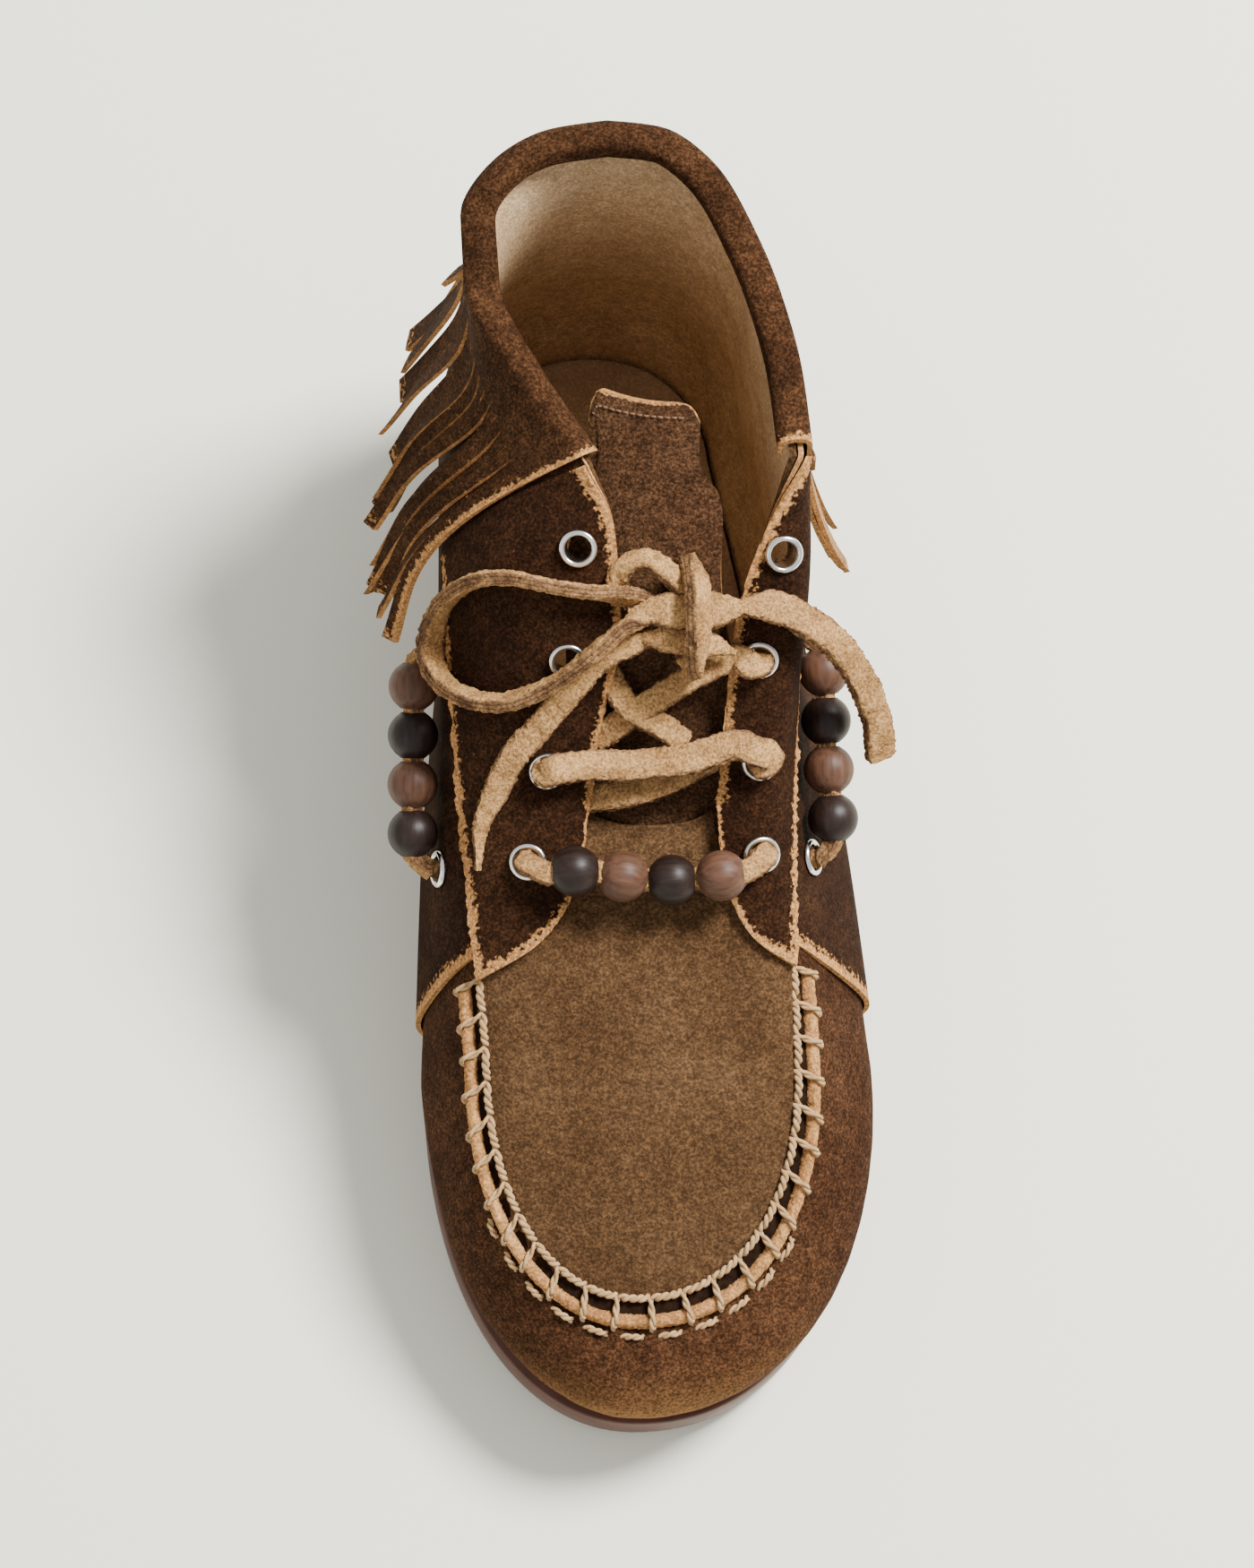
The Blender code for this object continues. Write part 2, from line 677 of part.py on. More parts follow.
def make_collar_fringe(collection):
    """A suede band rolled over the collar, cut below into hanging strips."""
    places = collar_edges()
    inside = -WALL - FRINGE_INNER_GAP
    outside = QUARTER_HIGH + FRINGE_GAP
    middle = (inside + outside) / 2
    reach = (outside - inside) / 2
    thick = FRINGE_THICKNESS
    ones = np.ones_like(places)
    rise = skin(places, ones) - skin(places, 0.97 * ones)
    rise = rise / np.linalg.norm(rise, axis=-1, keepdims=True)
    rows_in = [skin(places, FRINGE_INSIDE * ones, inside * ones)]
    rows_out = [skin(places, FRINGE_INSIDE * ones, (inside - thick) * ones)]
    for angle in (0, 90, 180):
        c, s = math.cos(math.radians(angle)), math.sin(math.radians(angle))
        for rows, wide in ((rows_in, reach), (rows_out, reach + thick)):
            above = LAYER_GAP + (0.5 * reach + wide - reach) * s
            rows.append(skin(places, ones, (middle - wide * c) * ones) + above * rise)
    share = [f.place for f in FRINGE_FALL]
    spot = places / CORNER_ROUND
    number = np.arange(len(places)) // 2
    flare = curve(share, [f.flare for f in FRINGE_FALL], spot)
    flare = flare + 0.02 * np.sin(2.4 * number)
    swing = curve(share, [f.swing for f in FRINGE_FALL], spot)
    drop = curve(share, [f.drop for f in FRINGE_FALL], spot)
    drop = drop + 0.025 * np.sin(1.7 * number + 1)
    tip = FRINGE_TIP - drop * STRIP_LENGTH / (UPPER_HEIGHT * 0.95)
    toeward = skin(places + 0.01, 0.5 * ones) - skin(places - 0.01, 0.5 * ones)
    toeward = toeward / np.linalg.norm(toeward, axis=-1, keepdims=True)
    toeward = toeward * np.sign(spot)[:, None]
    steps = FRINGE_STEPS
    for up in (9 / STRIPS_UP, FRINGE_BAND):
        for rows, lift in ((rows_in, outside), (rows_out, outside + thick)):
            rows.append(skin(places, up * ones, lift * ones))
    for k in range(1, steps + 1):
        part = k / steps
        up = FRINGE_BAND + (tip - FRINGE_BAND) * part
        away = STRIP_LENGTH * flare * part**1.8
        ahead = (STRIP_LENGTH * swing * part**2)[:, None] * toeward
        rows_in.append(skin(places, up, outside + away) + ahead)
        rows_out.append(skin(places, up, outside + thick + away) + ahead)
    front = np.stack(rows_out, axis=1)
    back = np.stack(rows_in, axis=1)
    cells = np.ones((len(places) - 1, front.shape[1] - 1), bool)
    cells[1::2, -steps:] = False
    mesh = sheet_mesh(front, back, cells)
    add_mesh("collar_fringe", mesh, collection, COLOURS["suede"], 0.95)


# Eyelets and their places on the upper
Place = namedtuple("Place", "name side around up")
THROAT_EYELETS = (
    Place("medial_1", -1, 0.573, 0.668),
    Place("medial_2", -1, 0.500, 0.762),
    Place("medial_3", -1, 0.430, 0.835),
    Place("medial_4", -1, 0.362, 0.895),
    Place("lateral_1", 1, 0.578, 0.690),
    Place("lateral_2", 1, 0.503, 0.790),
    Place("lateral_3", 1, 0.440, 0.870),
    Place("lateral_4", 1, 0.372, 0.885),
)
SIDE_EYELETS = (
    Place("medial_front", -1, 0.540, 0.395),
    Place("medial_rear", -1, 0.362, 0.435),
    Place("lateral_front", 1, 0.545, 0.400),
    Place("lateral_rear", 1, 0.362, 0.435),
)


def seat(place, lift):
    """The point above a place on the upper, and the way out of the boot there."""
    around = side_around(place.side, place.around)
    point = Vector(skin(around, place.up, lift))
    return point, Vector(skin_normal(around, place.up))


def make_cutter(name, places, collection):
    """Cylinders along the skin's normals, one for each eyelet of a group."""
    bm = bmesh.new()
    radius = EYELET_BARREL / 2 + EYELET_CLEAR
    for place in places:
        point, normal = seat(place, 0.0)
        turn = normal.to_track_quat("Z", "Y").to_matrix().to_4x4()
        bmesh.ops.create_cone(
            bm, cap_ends=True, segments=EYELET_SIDES, radius1=radius, radius2=radius,
            depth=4 * EYELET_DEPTH, matrix=Matrix.Translation(point) @ turn,
        )
    cutter = add_mesh(name, bm, collection, COLOURS["nickel"], 0.5)
    cutter.hide_render = True
    cutter.display_type = "WIRE"
    return cutter


def make_cutters(collection):
    groups = {}
    for word, side in (("medial", -1), ("lateral", 1)):
        throat = [p for p in THROAT_EYELETS if p.side == side]
        beside = [p for p in SIDE_EYELETS if p.side == side]
        groups["throat_" + word] = make_cutter("throat_" + word, throat, collection)
        groups["side_" + word] = make_cutter("side_" + word, beside, collection)
    return groups


def turned(name, profile, steps, collection, colour, roughness, metallic=0.0):
    """A ring turned about its Z axis from a closed profile of radius and height."""
    bm = bmesh.new()
    verts = [bm.verts.new((r, 0, z)) for r, z in profile]
    for i, vert in enumerate(verts):
        bm.edges.new([vert, verts[(i + 1) % len(verts)]])
    mesh = bpy.data.meshes.new(name)
    bm.to_mesh(mesh)
    bm.free()
    obj = bpy.data.objects.new(name, mesh)
    screw = obj.modifiers.new("turn", "SCREW")
    screw.axis = "Z"
    screw.steps = steps
    screw.render_steps = steps
    screw.use_merge_vertices = True
    screw.merge_threshold = 0.00001
    obj.data.materials.append(finish_material(name, colour, roughness, metallic))
    collection.objects.link(obj)
    return obj


def make_eyelets(collection):
    hole, barrel, flange = EYELET_HOLE / 2, EYELET_BARREL / 2, EYELET_FLANGE / 2
    profile = (
        (hole, EYELET_RIM * 0.8),
        ((hole + flange) / 2, EYELET_RIM),
        (flange, 0.0),
        (barrel, 0.0),
        (barrel, -EYELET_DEPTH),
        (hole, -EYELET_DEPTH),
    )
    for group, word in ((THROAT_EYELETS, "throat"), (SIDE_EYELETS, "side")):
        for place in group:
            top = EYESTAY_HIGH if word == "throat" else QUARTER_HIGH
            point, normal = seat(place, top + LAYER_GAP)
            name = "eyelet_%s_%s" % (word, place.name)
            colour = COLOURS["nickel"]
            eyelet = turned(name, profile, EYELET_SIDES, collection, colour, 0.3, 1.0)
            eyelet.location = point
            eyelet.rotation_mode = "QUATERNION"
            eyelet.rotation_quaternion = normal.to_track_quat("Z", "Y")


def smooth_route(points, spacing):
    """A smooth curve through the points, read at even steps."""
    points = [Vector(p) for p in points]
    ends = [2 * points[0] - points[1]] + points + [2 * points[-1] - points[-2]]
    fine = []
    for a, b, c, d in zip(ends, ends[1:], ends[2:], ends[3:]):
        for k in range(20):
            t = k / 20
            fine.append(
                0.5 * (2 * b + (c - a) * t + (2 * a - 5 * b + 4 * c - d) * t * t
                       + (3 * b - a - 3 * c + d) * t**3)
            )
    fine.append(points[-1])
    fine = np.array(fine)
    run = np.concatenate([[0], np.cumsum(np.linalg.norm(np.diff(fine, axis=0), axis=1))])
    at = strips(0, run[-1], max(2, round(run[-1] / spacing)))
    return np.stack([np.interp(at, run, fine[:, k]) for k in range(3)], axis=-1)


def make_tube(name, points, collection, spacing=0.0045):
    """A lace as a round tube along a smooth route."""
    route = smooth_route(points, spacing)
    data = bpy.data.curves.new(name, "CURVE")
    data.dimensions = "3D"
    data.bevel_depth = LACE / 2
    data.bevel_resolution = 2
    data.use_fill_caps = True
    data.render_resolution_u = 0
    spline = data.splines.new("POLY")
    spline.points.add(len(route) - 1)
    for point, place in zip(spline.points, route):
        point.co = (*place, 1.0)
    obj = bpy.data.objects.new(name, data)
    data.materials.append(finish_material(name, COLOURS["raw_edge"], 0.95))
    collection.objects.link(obj)
    return obj


# The lace's places between its eyelets. Over says the side of the boot, or across for
# the throat, where along runs from 0 at the medial edge to 1 at the lateral one.
# Lift is in lace widths.
Hold = namedtuple("Hold", "over around along lift")
BEAD_BAR = (
    Hold("medial", 0.592, 0.735, 2.45),
    Hold("medial", 0.608, 0.815, 2.62),
    Hold("lateral", 1.000, 0.955, 2.30),
    Hold("lateral", 0.625, 0.810, 2.62),
    Hold("lateral", 0.597, 0.740, 2.45),
)
SECOND_BAR = (
    Hold("medial", 0.500, 0.800, 2.00),
    Hold("medial", 0.500, 0.930, 1.80),
    Hold("across", 0.495, 0.300, 1.50),
    Hold("across", 0.485, 0.700, 1.50),
    Hold("lateral", 0.485, 0.930, 1.80),
    Hold("lateral", 0.497, 0.825, 2.00),
)
RISING_STRAND = (
    Hold("across", 0.485, 0.180, 1.50),
    Hold("across", 0.462, 0.420, 1.30),
    Hold("across", 0.443, 0.700, 1.40),
    Hold("lateral", 0.432, 0.980, 1.80),
    Hold("lateral", 0.436, 0.905, 2.00),
)
FALLING_STRAND = (
    Hold("across", 0.440, 0.130, -0.10),
    Hold("across", 0.455, 0.260, 0.60),
    Hold("across", 0.470, 0.400, 1.20),
    Hold("across", 0.485, 0.540, 1.50),
)
LOWER_STRAND = (
    Hold("across", 0.545, 0.130, -0.15),
    Hold("across", 0.532, 0.350, -0.15),
    Hold("across", 0.518, 0.650, -0.15),
    Hold("across", 0.510, 0.870, -0.15),
)


def hold_point(hold):
    lift = hold.lift * LACE
    if hold.over == "across":
        return bridge(hold.around, hold.along, lift)
    side = -1 if hold.over == "medial" else 1
    return skin(side_around(side, hold.around), hold.along, lift)


def eyelet_end(place, top):
    """The lace's points where it comes straight up out of an eyelet."""
    around = side_around(place.side, place.around)
    low = top - EYELET_DEPTH / 2
    high = top + EYELET_RIM + LACE / 2
    return [skin(around, place.up, lift) for lift in (low, (low + high) / 2, high)]


def laced(holds, start=None, end=None):
    """A lace's route over its places, from one throat eyelet to another."""
    named = {p.name: p for p in THROAT_EYELETS}
    points = [hold_point(h) for h in holds]
    if start:
        points = eyelet_end(named[start], EYESTAY_HIGH) + points
    if end:
        points = points + eyelet_end(named[end], EYESTAY_HIGH)[::-1]
    return points


def side_string(side):
    """The lace of one row of side beads, from its front eyelet to its rear one."""
    front, rear = [p for p in SIDE_EYELETS if p.side == side]
    high = QUARTER_HIGH + LAYER_GAP + BEAD / 2 + LAYER_GAP
    points = eyelet_end(front, QUARTER_HIGH)
    for share in (0.06, 0.12, 0.3, 0.5, 0.7, 0.88, 0.94):
        around = front.around + (rear.around - front.around) * share
        up = front.up + (rear.up - front.up) * share
        lift = high if 0.1 < share < 0.9 else 0.93 * high
        points.append(skin(side_around(side, around), up, lift))
    return points + eyelet_end(rear, QUARTER_HIGH)[::-1]


def make_beads(name, points, collection):
    """Four beads, dark and pale in turn, threaded on the middle of a lace."""
    route = smooth_route(points, 0.0005)
    run = np.concatenate([[0], np.cumsum(np.linalg.norm(np.diff(route, axis=0), axis=1))])
    pitch = BEAD_LENGTH + BEAD_GAP
    half = BEAD_LENGTH / 2
    bore = BEAD_BORE / 2
    profile = [(bore, half)]
    steep = math.radians(BEAD_SHOULDER)
    for k in range(5):
        angle = steep * (1 - k / 2)
        height = half * math.sin(angle) / math.sin(steep)
        profile.append((BEAD / 2 * math.cos(angle), height))
    profile.append((bore, -half))
    for k in range(4):
        centre = run[-1] / 2 + (k - 1.5) * pitch
        at = [np.interp(centre + d, run, route[:, i]) for d in (-half, 0, half) for i in range(3)]
        back, middle, front = (Vector(at[i : i + 3]) for i in (0, 3, 6))
        colour = COLOURS["dark_wood" if k % 2 == 0 else "pale_wood"]
        title = "bead_%s_%d" % (name, k + 1)
        bead = turned(title, profile, BEAD_SIDES, collection, colour, 0.5)
        bead.location = (back + 2 * middle + front) / 4
        bead.rotation_mode = "QUATERNION"
        bead.rotation_quaternion = (front - back).to_track_quat("Z", "Y")


def make_crossings(collection):
    """The second bar and the two strands that cross above it, joined."""
    mesh = None
    for name, points in (
        ("lace_crossings", laced(SECOND_BAR, "medial_2", "lateral_2")),
        ("rising_strand", laced(RISING_STRAND, None, "lateral_3")),
        ("falling_strand", laced(FALLING_STRAND)),
    ):
        tube = make_tube(name, points, collection)
        bpy.context.view_layer.update()
        graph = bpy.context.evaluated_depsgraph_get()
        data = bpy.data.meshes.new_from_object(tube.evaluated_get(graph))
        bm = bmesh.new()
        bm.from_mesh(data)
        bmesh.ops.remove_doubles(bm, verts=bm.verts, dist=0.00001)
        solid = add_mesh(name, bm, collection, COLOURS["raw_edge"], 0.95)
        bpy.data.objects.remove(tube, do_unlink=True)
        if mesh is None:
            mesh = solid
            mesh.name = "lace_crossings"
            continue
        union = mesh.modifiers.new("join_" + name, "BOOLEAN")
        union.operation = "UNION"
        union.solver = "EXACT"
        union.object = solid
        solid.hide_render = True
        solid.display_type = "WIRE"
        collection.objects.unlink(solid)
        bpy.data.collections["cutters"].objects.link(solid)


# The bow, placed by hand: its knot, its loop and its two loose ends, in metres
KNOT_CENTRE = (0.0145, 0.0213, 0.1095)
KNOT_SIZE = (0.0140, 0.0120, 0.0080)
KNOT_ROUND = 0.0025
LOOP_ROUTE = (
    (0.0066, 0.0250, 0.1092),
    (-0.0020, 0.0262, 0.1100),
    (-0.0136, 0.0280, 0.1108),
    (-0.0239, 0.0314, 0.1084),
    (-0.0316, 0.0330, 0.1020),
    (-0.0374, 0.0316, 0.0926),
    (-0.0402, 0.0257, 0.0840),
    (-0.0386, 0.0181, 0.0848),
    (-0.0336, 0.0124, 0.0892),
    (-0.0259, 0.0092, 0.0935),
    (-0.0168, 0.0104, 0.0985),
    (-0.0100, 0.0130, 0.1044),
    (-0.0041, 0.0166, 0.1083),
    (0.0015, 0.0203, 0.1096),
    (0.0066, 0.0209, 0.1100),
)
MEDIAL_END_ROUTE = (
    (0.0070, 0.0176, 0.1058),
    (0.0008, 0.0170, 0.1050),
    (-0.0054, 0.0150, 0.1030),
    (-0.0118, 0.0098, 0.0975),
    (-0.0180, 0.0043, 0.0917),
    (-0.0236, -0.0003, 0.0868),
    (-0.0277, -0.0064, 0.0816),
    (-0.0311, -0.0130, 0.0772),
    (-0.0320, -0.0211, 0.0734),
)
LATERAL_END_ROUTE = (
    (0.0220, 0.0225, 0.1096),
    (0.0308, 0.0223, 0.1098),
    (0.0384, 0.0200, 0.1055),
    (0.0451, 0.0174, 0.0970),
    (0.0505, 0.0131, 0.0870),
    (0.0542, 0.0077, 0.0770),
    (0.0554, 0.0017, 0.0690),
)


def make_knot(collection):
    """The lump of the knot, as a rounded block."""
    bm = bmesh.new()
    bmesh.ops.create_cube(bm, size=1.0)
    bmesh.ops.scale(bm, vec=KNOT_SIZE, verts=bm.verts)
    knot = add_mesh("lace_knot", bm, collection, COLOURS["raw_edge"], 0.95)
    knot.location = KNOT_CENTRE
    bevel = knot.modifiers.new("round", "BEVEL")
    bevel.width = KNOT_ROUND
    bevel.segments = 2


def main():
    clear_scene()
    boot = new_collection("fringe_boot")
    tools = new_collection("cutters")
    cutters = make_cutters(tools)
    make_outsole(boot)
    make_insole(boot)
    make_upper(boot, cutters)
    make_apron_seam(boot)
    make_tongue(boot)
    for side, word in ((-1, "medial"), (1, "lateral")):
        make_quarter(boot, cutters, side, word)
        make_eyestay(boot, cutters, side, word)
        string = side_string(side)
        make_tube("lace_side_" + word, string, boot)
        make_beads(word, string, boot)
    make_collar_fringe(boot)
    make_eyelets(boot)
    bar = laced(BEAD_BAR, "medial_1", "lateral_1")
    make_tube("lace_bead_bar", bar, boot)
    make_beads("front", bar, boot)
    make_crossings(boot)
    make_tube("lace_lower_strand", laced(LOWER_STRAND), boot)
    make_knot(boot)
    for name, route in (
        ("lace_loop", LOOP_ROUTE),
        ("lace_end_medial", MEDIAL_END_ROUTE),
        ("lace_end_lateral", LATERAL_END_ROUTE),
    ):
        make_tube(name, route, boot, spacing=2.5 * LACE)


main()
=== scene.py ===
# %% [markdown]
# # A fringe boot, dressed
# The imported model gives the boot's solids at their real size. This lesson dresses them: suede with a
# nap, a hand-sewn apron seam, raw-cut thongs tied in a bow, turned wooden beads and a fringed collar.
# Everything is in metres, with the toe along -Y, the heel along +Y and the outer side along +X.

# %% Load the frame
import math
from collections import namedtuple

import bmesh
import bpy
import numpy as np
from mathutils import Matrix, Vector


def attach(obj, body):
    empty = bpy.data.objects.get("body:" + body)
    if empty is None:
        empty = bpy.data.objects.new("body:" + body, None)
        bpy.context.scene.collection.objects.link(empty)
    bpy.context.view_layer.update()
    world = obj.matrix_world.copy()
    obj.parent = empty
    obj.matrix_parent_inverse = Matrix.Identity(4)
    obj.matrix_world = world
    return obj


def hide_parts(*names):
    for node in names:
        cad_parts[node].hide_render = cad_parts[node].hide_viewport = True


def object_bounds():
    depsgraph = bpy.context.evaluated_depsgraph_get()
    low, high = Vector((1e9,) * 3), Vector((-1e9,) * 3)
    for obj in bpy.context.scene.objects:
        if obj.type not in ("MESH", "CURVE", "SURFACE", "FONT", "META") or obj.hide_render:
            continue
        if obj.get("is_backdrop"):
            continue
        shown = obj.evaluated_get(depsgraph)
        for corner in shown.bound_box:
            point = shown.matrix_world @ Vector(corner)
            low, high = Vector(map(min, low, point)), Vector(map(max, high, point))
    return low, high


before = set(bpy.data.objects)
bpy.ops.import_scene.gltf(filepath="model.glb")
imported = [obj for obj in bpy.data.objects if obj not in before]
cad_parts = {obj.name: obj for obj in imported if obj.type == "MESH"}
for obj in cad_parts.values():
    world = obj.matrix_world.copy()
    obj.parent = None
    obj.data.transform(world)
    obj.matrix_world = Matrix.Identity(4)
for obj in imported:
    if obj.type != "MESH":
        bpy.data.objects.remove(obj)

cad_low, cad_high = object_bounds()
print("CAD box in mm:", [round(1000 * (b - a), 1) for a, b in zip(cad_low, cad_high)])

# %% [markdown]
# ## Camera
# The boot is seen from above, a little in front of the toe. A long lens from far off keeps the sole and
# the collar at nearly one scale. The roll comes from a direction that has to point up in the picture.

# %% Camera
CAMERA_PLACE = Vector((-0.0705, -0.3538, 1.1813))
CAMERA_AIM = Vector((0.0020, 0.0040, 0.0500))
PICTURE_UP = Vector((0.0576, 0.9983, 0.0))
LENS = 126

camera = bpy.data.objects.new("camera", bpy.data.cameras.new("camera"))
bpy.context.scene.collection.objects.link(camera)
away = (CAMERA_PLACE - CAMERA_AIM).normalized()
across = PICTURE_UP.cross(away).normalized()
turn = Matrix((across, away.cross(across), away)).transposed().to_4x4()
camera.matrix_world = Matrix.Translation(CAMERA_PLACE) @ turn
camera.data.lens = LENS
camera.data.clip_end = 30
bpy.context.scene.camera = camera
print("The camera is %.2f m away" % (CAMERA_PLACE - CAMERA_AIM).length)

# %% [markdown]
# ## Floor and light
# A pale floor, one large soft lamp from the picture's upper right, and an even sky to lift the shadow
# that it throws to the left.

# %% Floor and light
FLOOR_SIZE = 14.0
FLOOR_COLOUR = (0.87, 0.86, 0.725)
SKY_STRENGTH = 0.86
KEY_PLACE = Vector((0.78, 0.42, 1.36))
KEY_SIZE = 0.50
KEY_POWER = 72
FILL_PLACE = Vector((-1.1, -1.2, 1.3))
FILL_POWER = 5


def new_object(name, data):
    obj = bpy.data.objects.new(name, data)
    bpy.context.scene.collection.objects.link(obj)
    return obj


def area_light(name, place, size, power):
    lamp = bpy.data.lights.new(name, "AREA")
    lamp.shape = "DISK"
    lamp.size = size
    lamp.energy = power
    obj = new_object(name, lamp)
    obj.location = place
    obj.rotation_euler = (place - CAMERA_AIM).to_track_quat("Z", "Y").to_euler()
    return obj


area_light("key", KEY_PLACE, KEY_SIZE, KEY_POWER)
area_light("fill", FILL_PLACE, 1.4, FILL_POWER)
world = bpy.data.worlds.new("studio")
world.use_nodes = True
world.node_tree.nodes["Background"].inputs["Color"].default_value = (0.97, 0.98, 1.0, 1)
world.node_tree.nodes["Background"].inputs["Strength"].default_value = SKY_STRENGTH
bpy.context.scene.world = world

ground = bmesh.new()
bmesh.ops.create_grid(ground, x_segments=4, y_segments=4, size=FLOOR_SIZE / 2)
floor = new_object("floor", bpy.data.meshes.new("floor"))
ground.to_mesh(floor.data)
ground.free()
floor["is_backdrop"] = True
print("Floor and two lamps are in place")

# %% [markdown]
# ## Materials
# Suede is leather with its fibres brushed up. Its colour changes at three scales: broad clouds where the
# nap lies another way, a fine grain of light and dark fibre ends, and pale raw edges where it was cut.
# Each mesh says where its cut edges and worn places are, with two attributes named edge and wear.


# %% Material helpers
def link(tree, out, into):
    tree.links.new(out, into)


def node(tree, kind, **values):
    made = tree.nodes.new(kind)
    for key, value in values.items():
        if hasattr(made, key):
            setattr(made, key, value)
        else:
            made.inputs[key.replace("_", " ")].default_value = value
    return made


def base_material(name, roughness, metallic=0.0, specular=0.5):
    material = bpy.data.materials.new(name)
    material.use_nodes = True
    tree = material.node_tree
    shader = tree.nodes["Principled BSDF"]
    shader.inputs["Roughness"].default_value = roughness
    shader.inputs["Metallic"].default_value = metallic
    shader.inputs["Specular IOR Level"].default_value = specular
    place = tree.nodes.new("ShaderNodeTexCoord").outputs["Object"]
    return material, tree, shader, place


def noise(tree, place, size, detail=3.0, rough=0.55):
    """A noise whose blobs are about so many metres across."""
    made = node(tree, "ShaderNodeTexNoise", Scale=1 / size, Detail=detail, Roughness=rough)
    link(tree, place, made.inputs["Vector"])
    return made.outputs["Fac"]


def ramp(tree, value, stops):
    made = tree.nodes.new("ShaderNodeValToRGB")
    marks = made.color_ramp.elements
    while len(marks) < len(stops):
        marks.new(0.5)
    for mark, (at, colour) in zip(marks, stops):
        mark.position = at
        mark.color = (*colour, 1) if len(colour) == 3 else (colour[0],) * 3 + (1,)
    link(tree, value, made.inputs["Fac"])
    return made.outputs["Color"]


def maths(tree, operation, first, second):
    made = tree.nodes.new("ShaderNodeMath")
    made.operation = operation
    made.use_clamp = operation == "ADD"
    for socket, value in zip(made.inputs, (first, second)):
        if isinstance(value, (int, float)):
            socket.default_value = value
        else:
            link(tree, value, socket)
    return made.outputs["Value"]


def mixed(tree, amount, first, second, blend="MIX"):
    made = tree.nodes.new("ShaderNodeMix")
    made.data_type = "RGBA"
    made.blend_type = blend
    for socket, value in ((made.inputs[0], amount), (made.inputs[6], first), (made.inputs[7], second)):
        if isinstance(value, (int, float)):
            socket.default_value = value
        elif isinstance(value, tuple):
            socket.default_value = (*value, 1)
        else:
            link(tree, value, socket)
    return made.outputs[2]


def bump(tree, shader, heights):
    """Add bumps one on another, each a height, a strength and a depth in metres."""
    last = None
    for height, strength, depth in heights:
        made = node(tree, "ShaderNodeBump", Strength=strength, Distance=depth)
        link(tree, height, made.inputs["Height"])
        if last:
            link(tree, last, made.inputs["Normal"])
        last = made.outputs["Normal"]
    link(tree, last, shader.inputs["Normal"])


def attribute(tree, name):
    return node(tree, "ShaderNodeAttribute", attribute_name=name).outputs["Fac"]


# %% Suede, thong, wood, metal and rubber
GRAIN = 0.00065
CLOUD = 0.020
EDGE_TAN = (0.400, 0.195, 0.070)


def suede(name, deep, middle, pale, grain=0.8, worn=EDGE_TAN):
    material, tree, shader, place = base_material(name, 0.95, specular=0.06)
    clouds = ramp(tree, noise(tree, place, CLOUD), ((0.30, deep), (0.52, middle), (0.76, pale)))
    fibre = noise(tree, place, GRAIN, 4.0, 0.7)
    specks = ramp(tree, fibre, ((0.38, (0.30,)), (0.50, (0.90,)), (0.62, (2.10,))))
    tufts = ramp(tree, noise(tree, place, 0.0022, 2.0), ((0.38, (0.72,)), (0.62, (1.32,))))
    napped = mixed(tree, grain, mixed(tree, grain, clouds, tufts, "MULTIPLY"), specks, "MULTIPLY")
    fray = maths(tree, "MULTIPLY", maths(tree, "SUBTRACT", noise(tree, place, 0.0011), 0.5), 1.7)
    cut = maths(tree, "ADD", attribute(tree, "edge"), fray)
    cut = ramp(tree, cut, ((0.40, (0.0,)), (0.62, (1.0,))))
    rub = maths(tree, "MULTIPLY", attribute(tree, "wear"), ramp(tree, fibre, ((0.38, (0.25,)), (0.6, (1.0,)))))
    colour = mixed(tree, rub, napped, worn)
    pale_cut = mixed(tree, 0.6, EDGE_TAN, specks, "MULTIPLY")
    link(tree, mixed(tree, cut, colour, pale_cut), shader.inputs["Base Color"])
    bump(tree, shader, ((fibre, 0.8, 0.0005), (noise(tree, place, 0.0016), 0.35, 0.0005)))
    return material


def thong_leather():
    """Nap on the flat faces, and grey grooved sides where the hide was slit."""
    material, tree, shader, place = base_material("thong", 0.95, specular=0.06)
    nap = ramp(
        tree, noise(tree, place, 0.006), ((0.35, (0.29, 0.150, 0.056)), (0.60, (0.45, 0.250, 0.097)))
    )
    slit = ramp(
        tree, noise(tree, place, 0.004), ((0.35, (0.120, 0.060, 0.030)), (0.65, (0.30, 0.160, 0.070)))
    )
    fibre = noise(tree, place, 0.00065, 4.0, 0.7)
    sided = ramp(tree, attribute(tree, "side"), ((0.50, (0.0,)), (0.80, (1.0,))))
    lines = ramp(
        tree, attribute(tree, "across"),
        ((0.28, (1.0,)), (0.36, (0.25,)), (0.44, (1.0,)), (0.58, (0.95,)), (0.66, (0.30,)), (0.74, (1.0,))),
    )
    grooved = mixed(tree, 0.8, slit, lines, "MULTIPLY")
    both = mixed(tree, sided, nap, grooved)
    specks = ramp(tree, fibre, ((0.38, (0.40,)), (0.50, (0.95,)), (0.62, (1.55,))))
    link(tree, mixed(tree, 0.8, both, specks, "MULTIPLY"), shader.inputs["Base Color"])
    bump(tree, shader, ((fibre, 0.9, 0.0006), (noise(tree, place, 0.0018), 0.5, 0.0006)))
    return material


def turned_wood(name, deep, pale, rough):
    material, tree, shader, place = base_material(name, rough, specular=0.25)
    stretch = node(tree, "ShaderNodeMapping", vector_type="POINT")
    stretch.inputs["Scale"].default_value = (1, 1, 0.10)
    link(tree, place, stretch.inputs["Vector"])
    grain = noise(tree, stretch.outputs["Vector"], 0.0011, 4.0, 0.6)
    link(tree, ramp(tree, grain, ((0.34, deep), (0.66, pale))), shader.inputs["Base Color"])
    bump(tree, shader, ((grain, 0.25, 0.0003),))
    return material


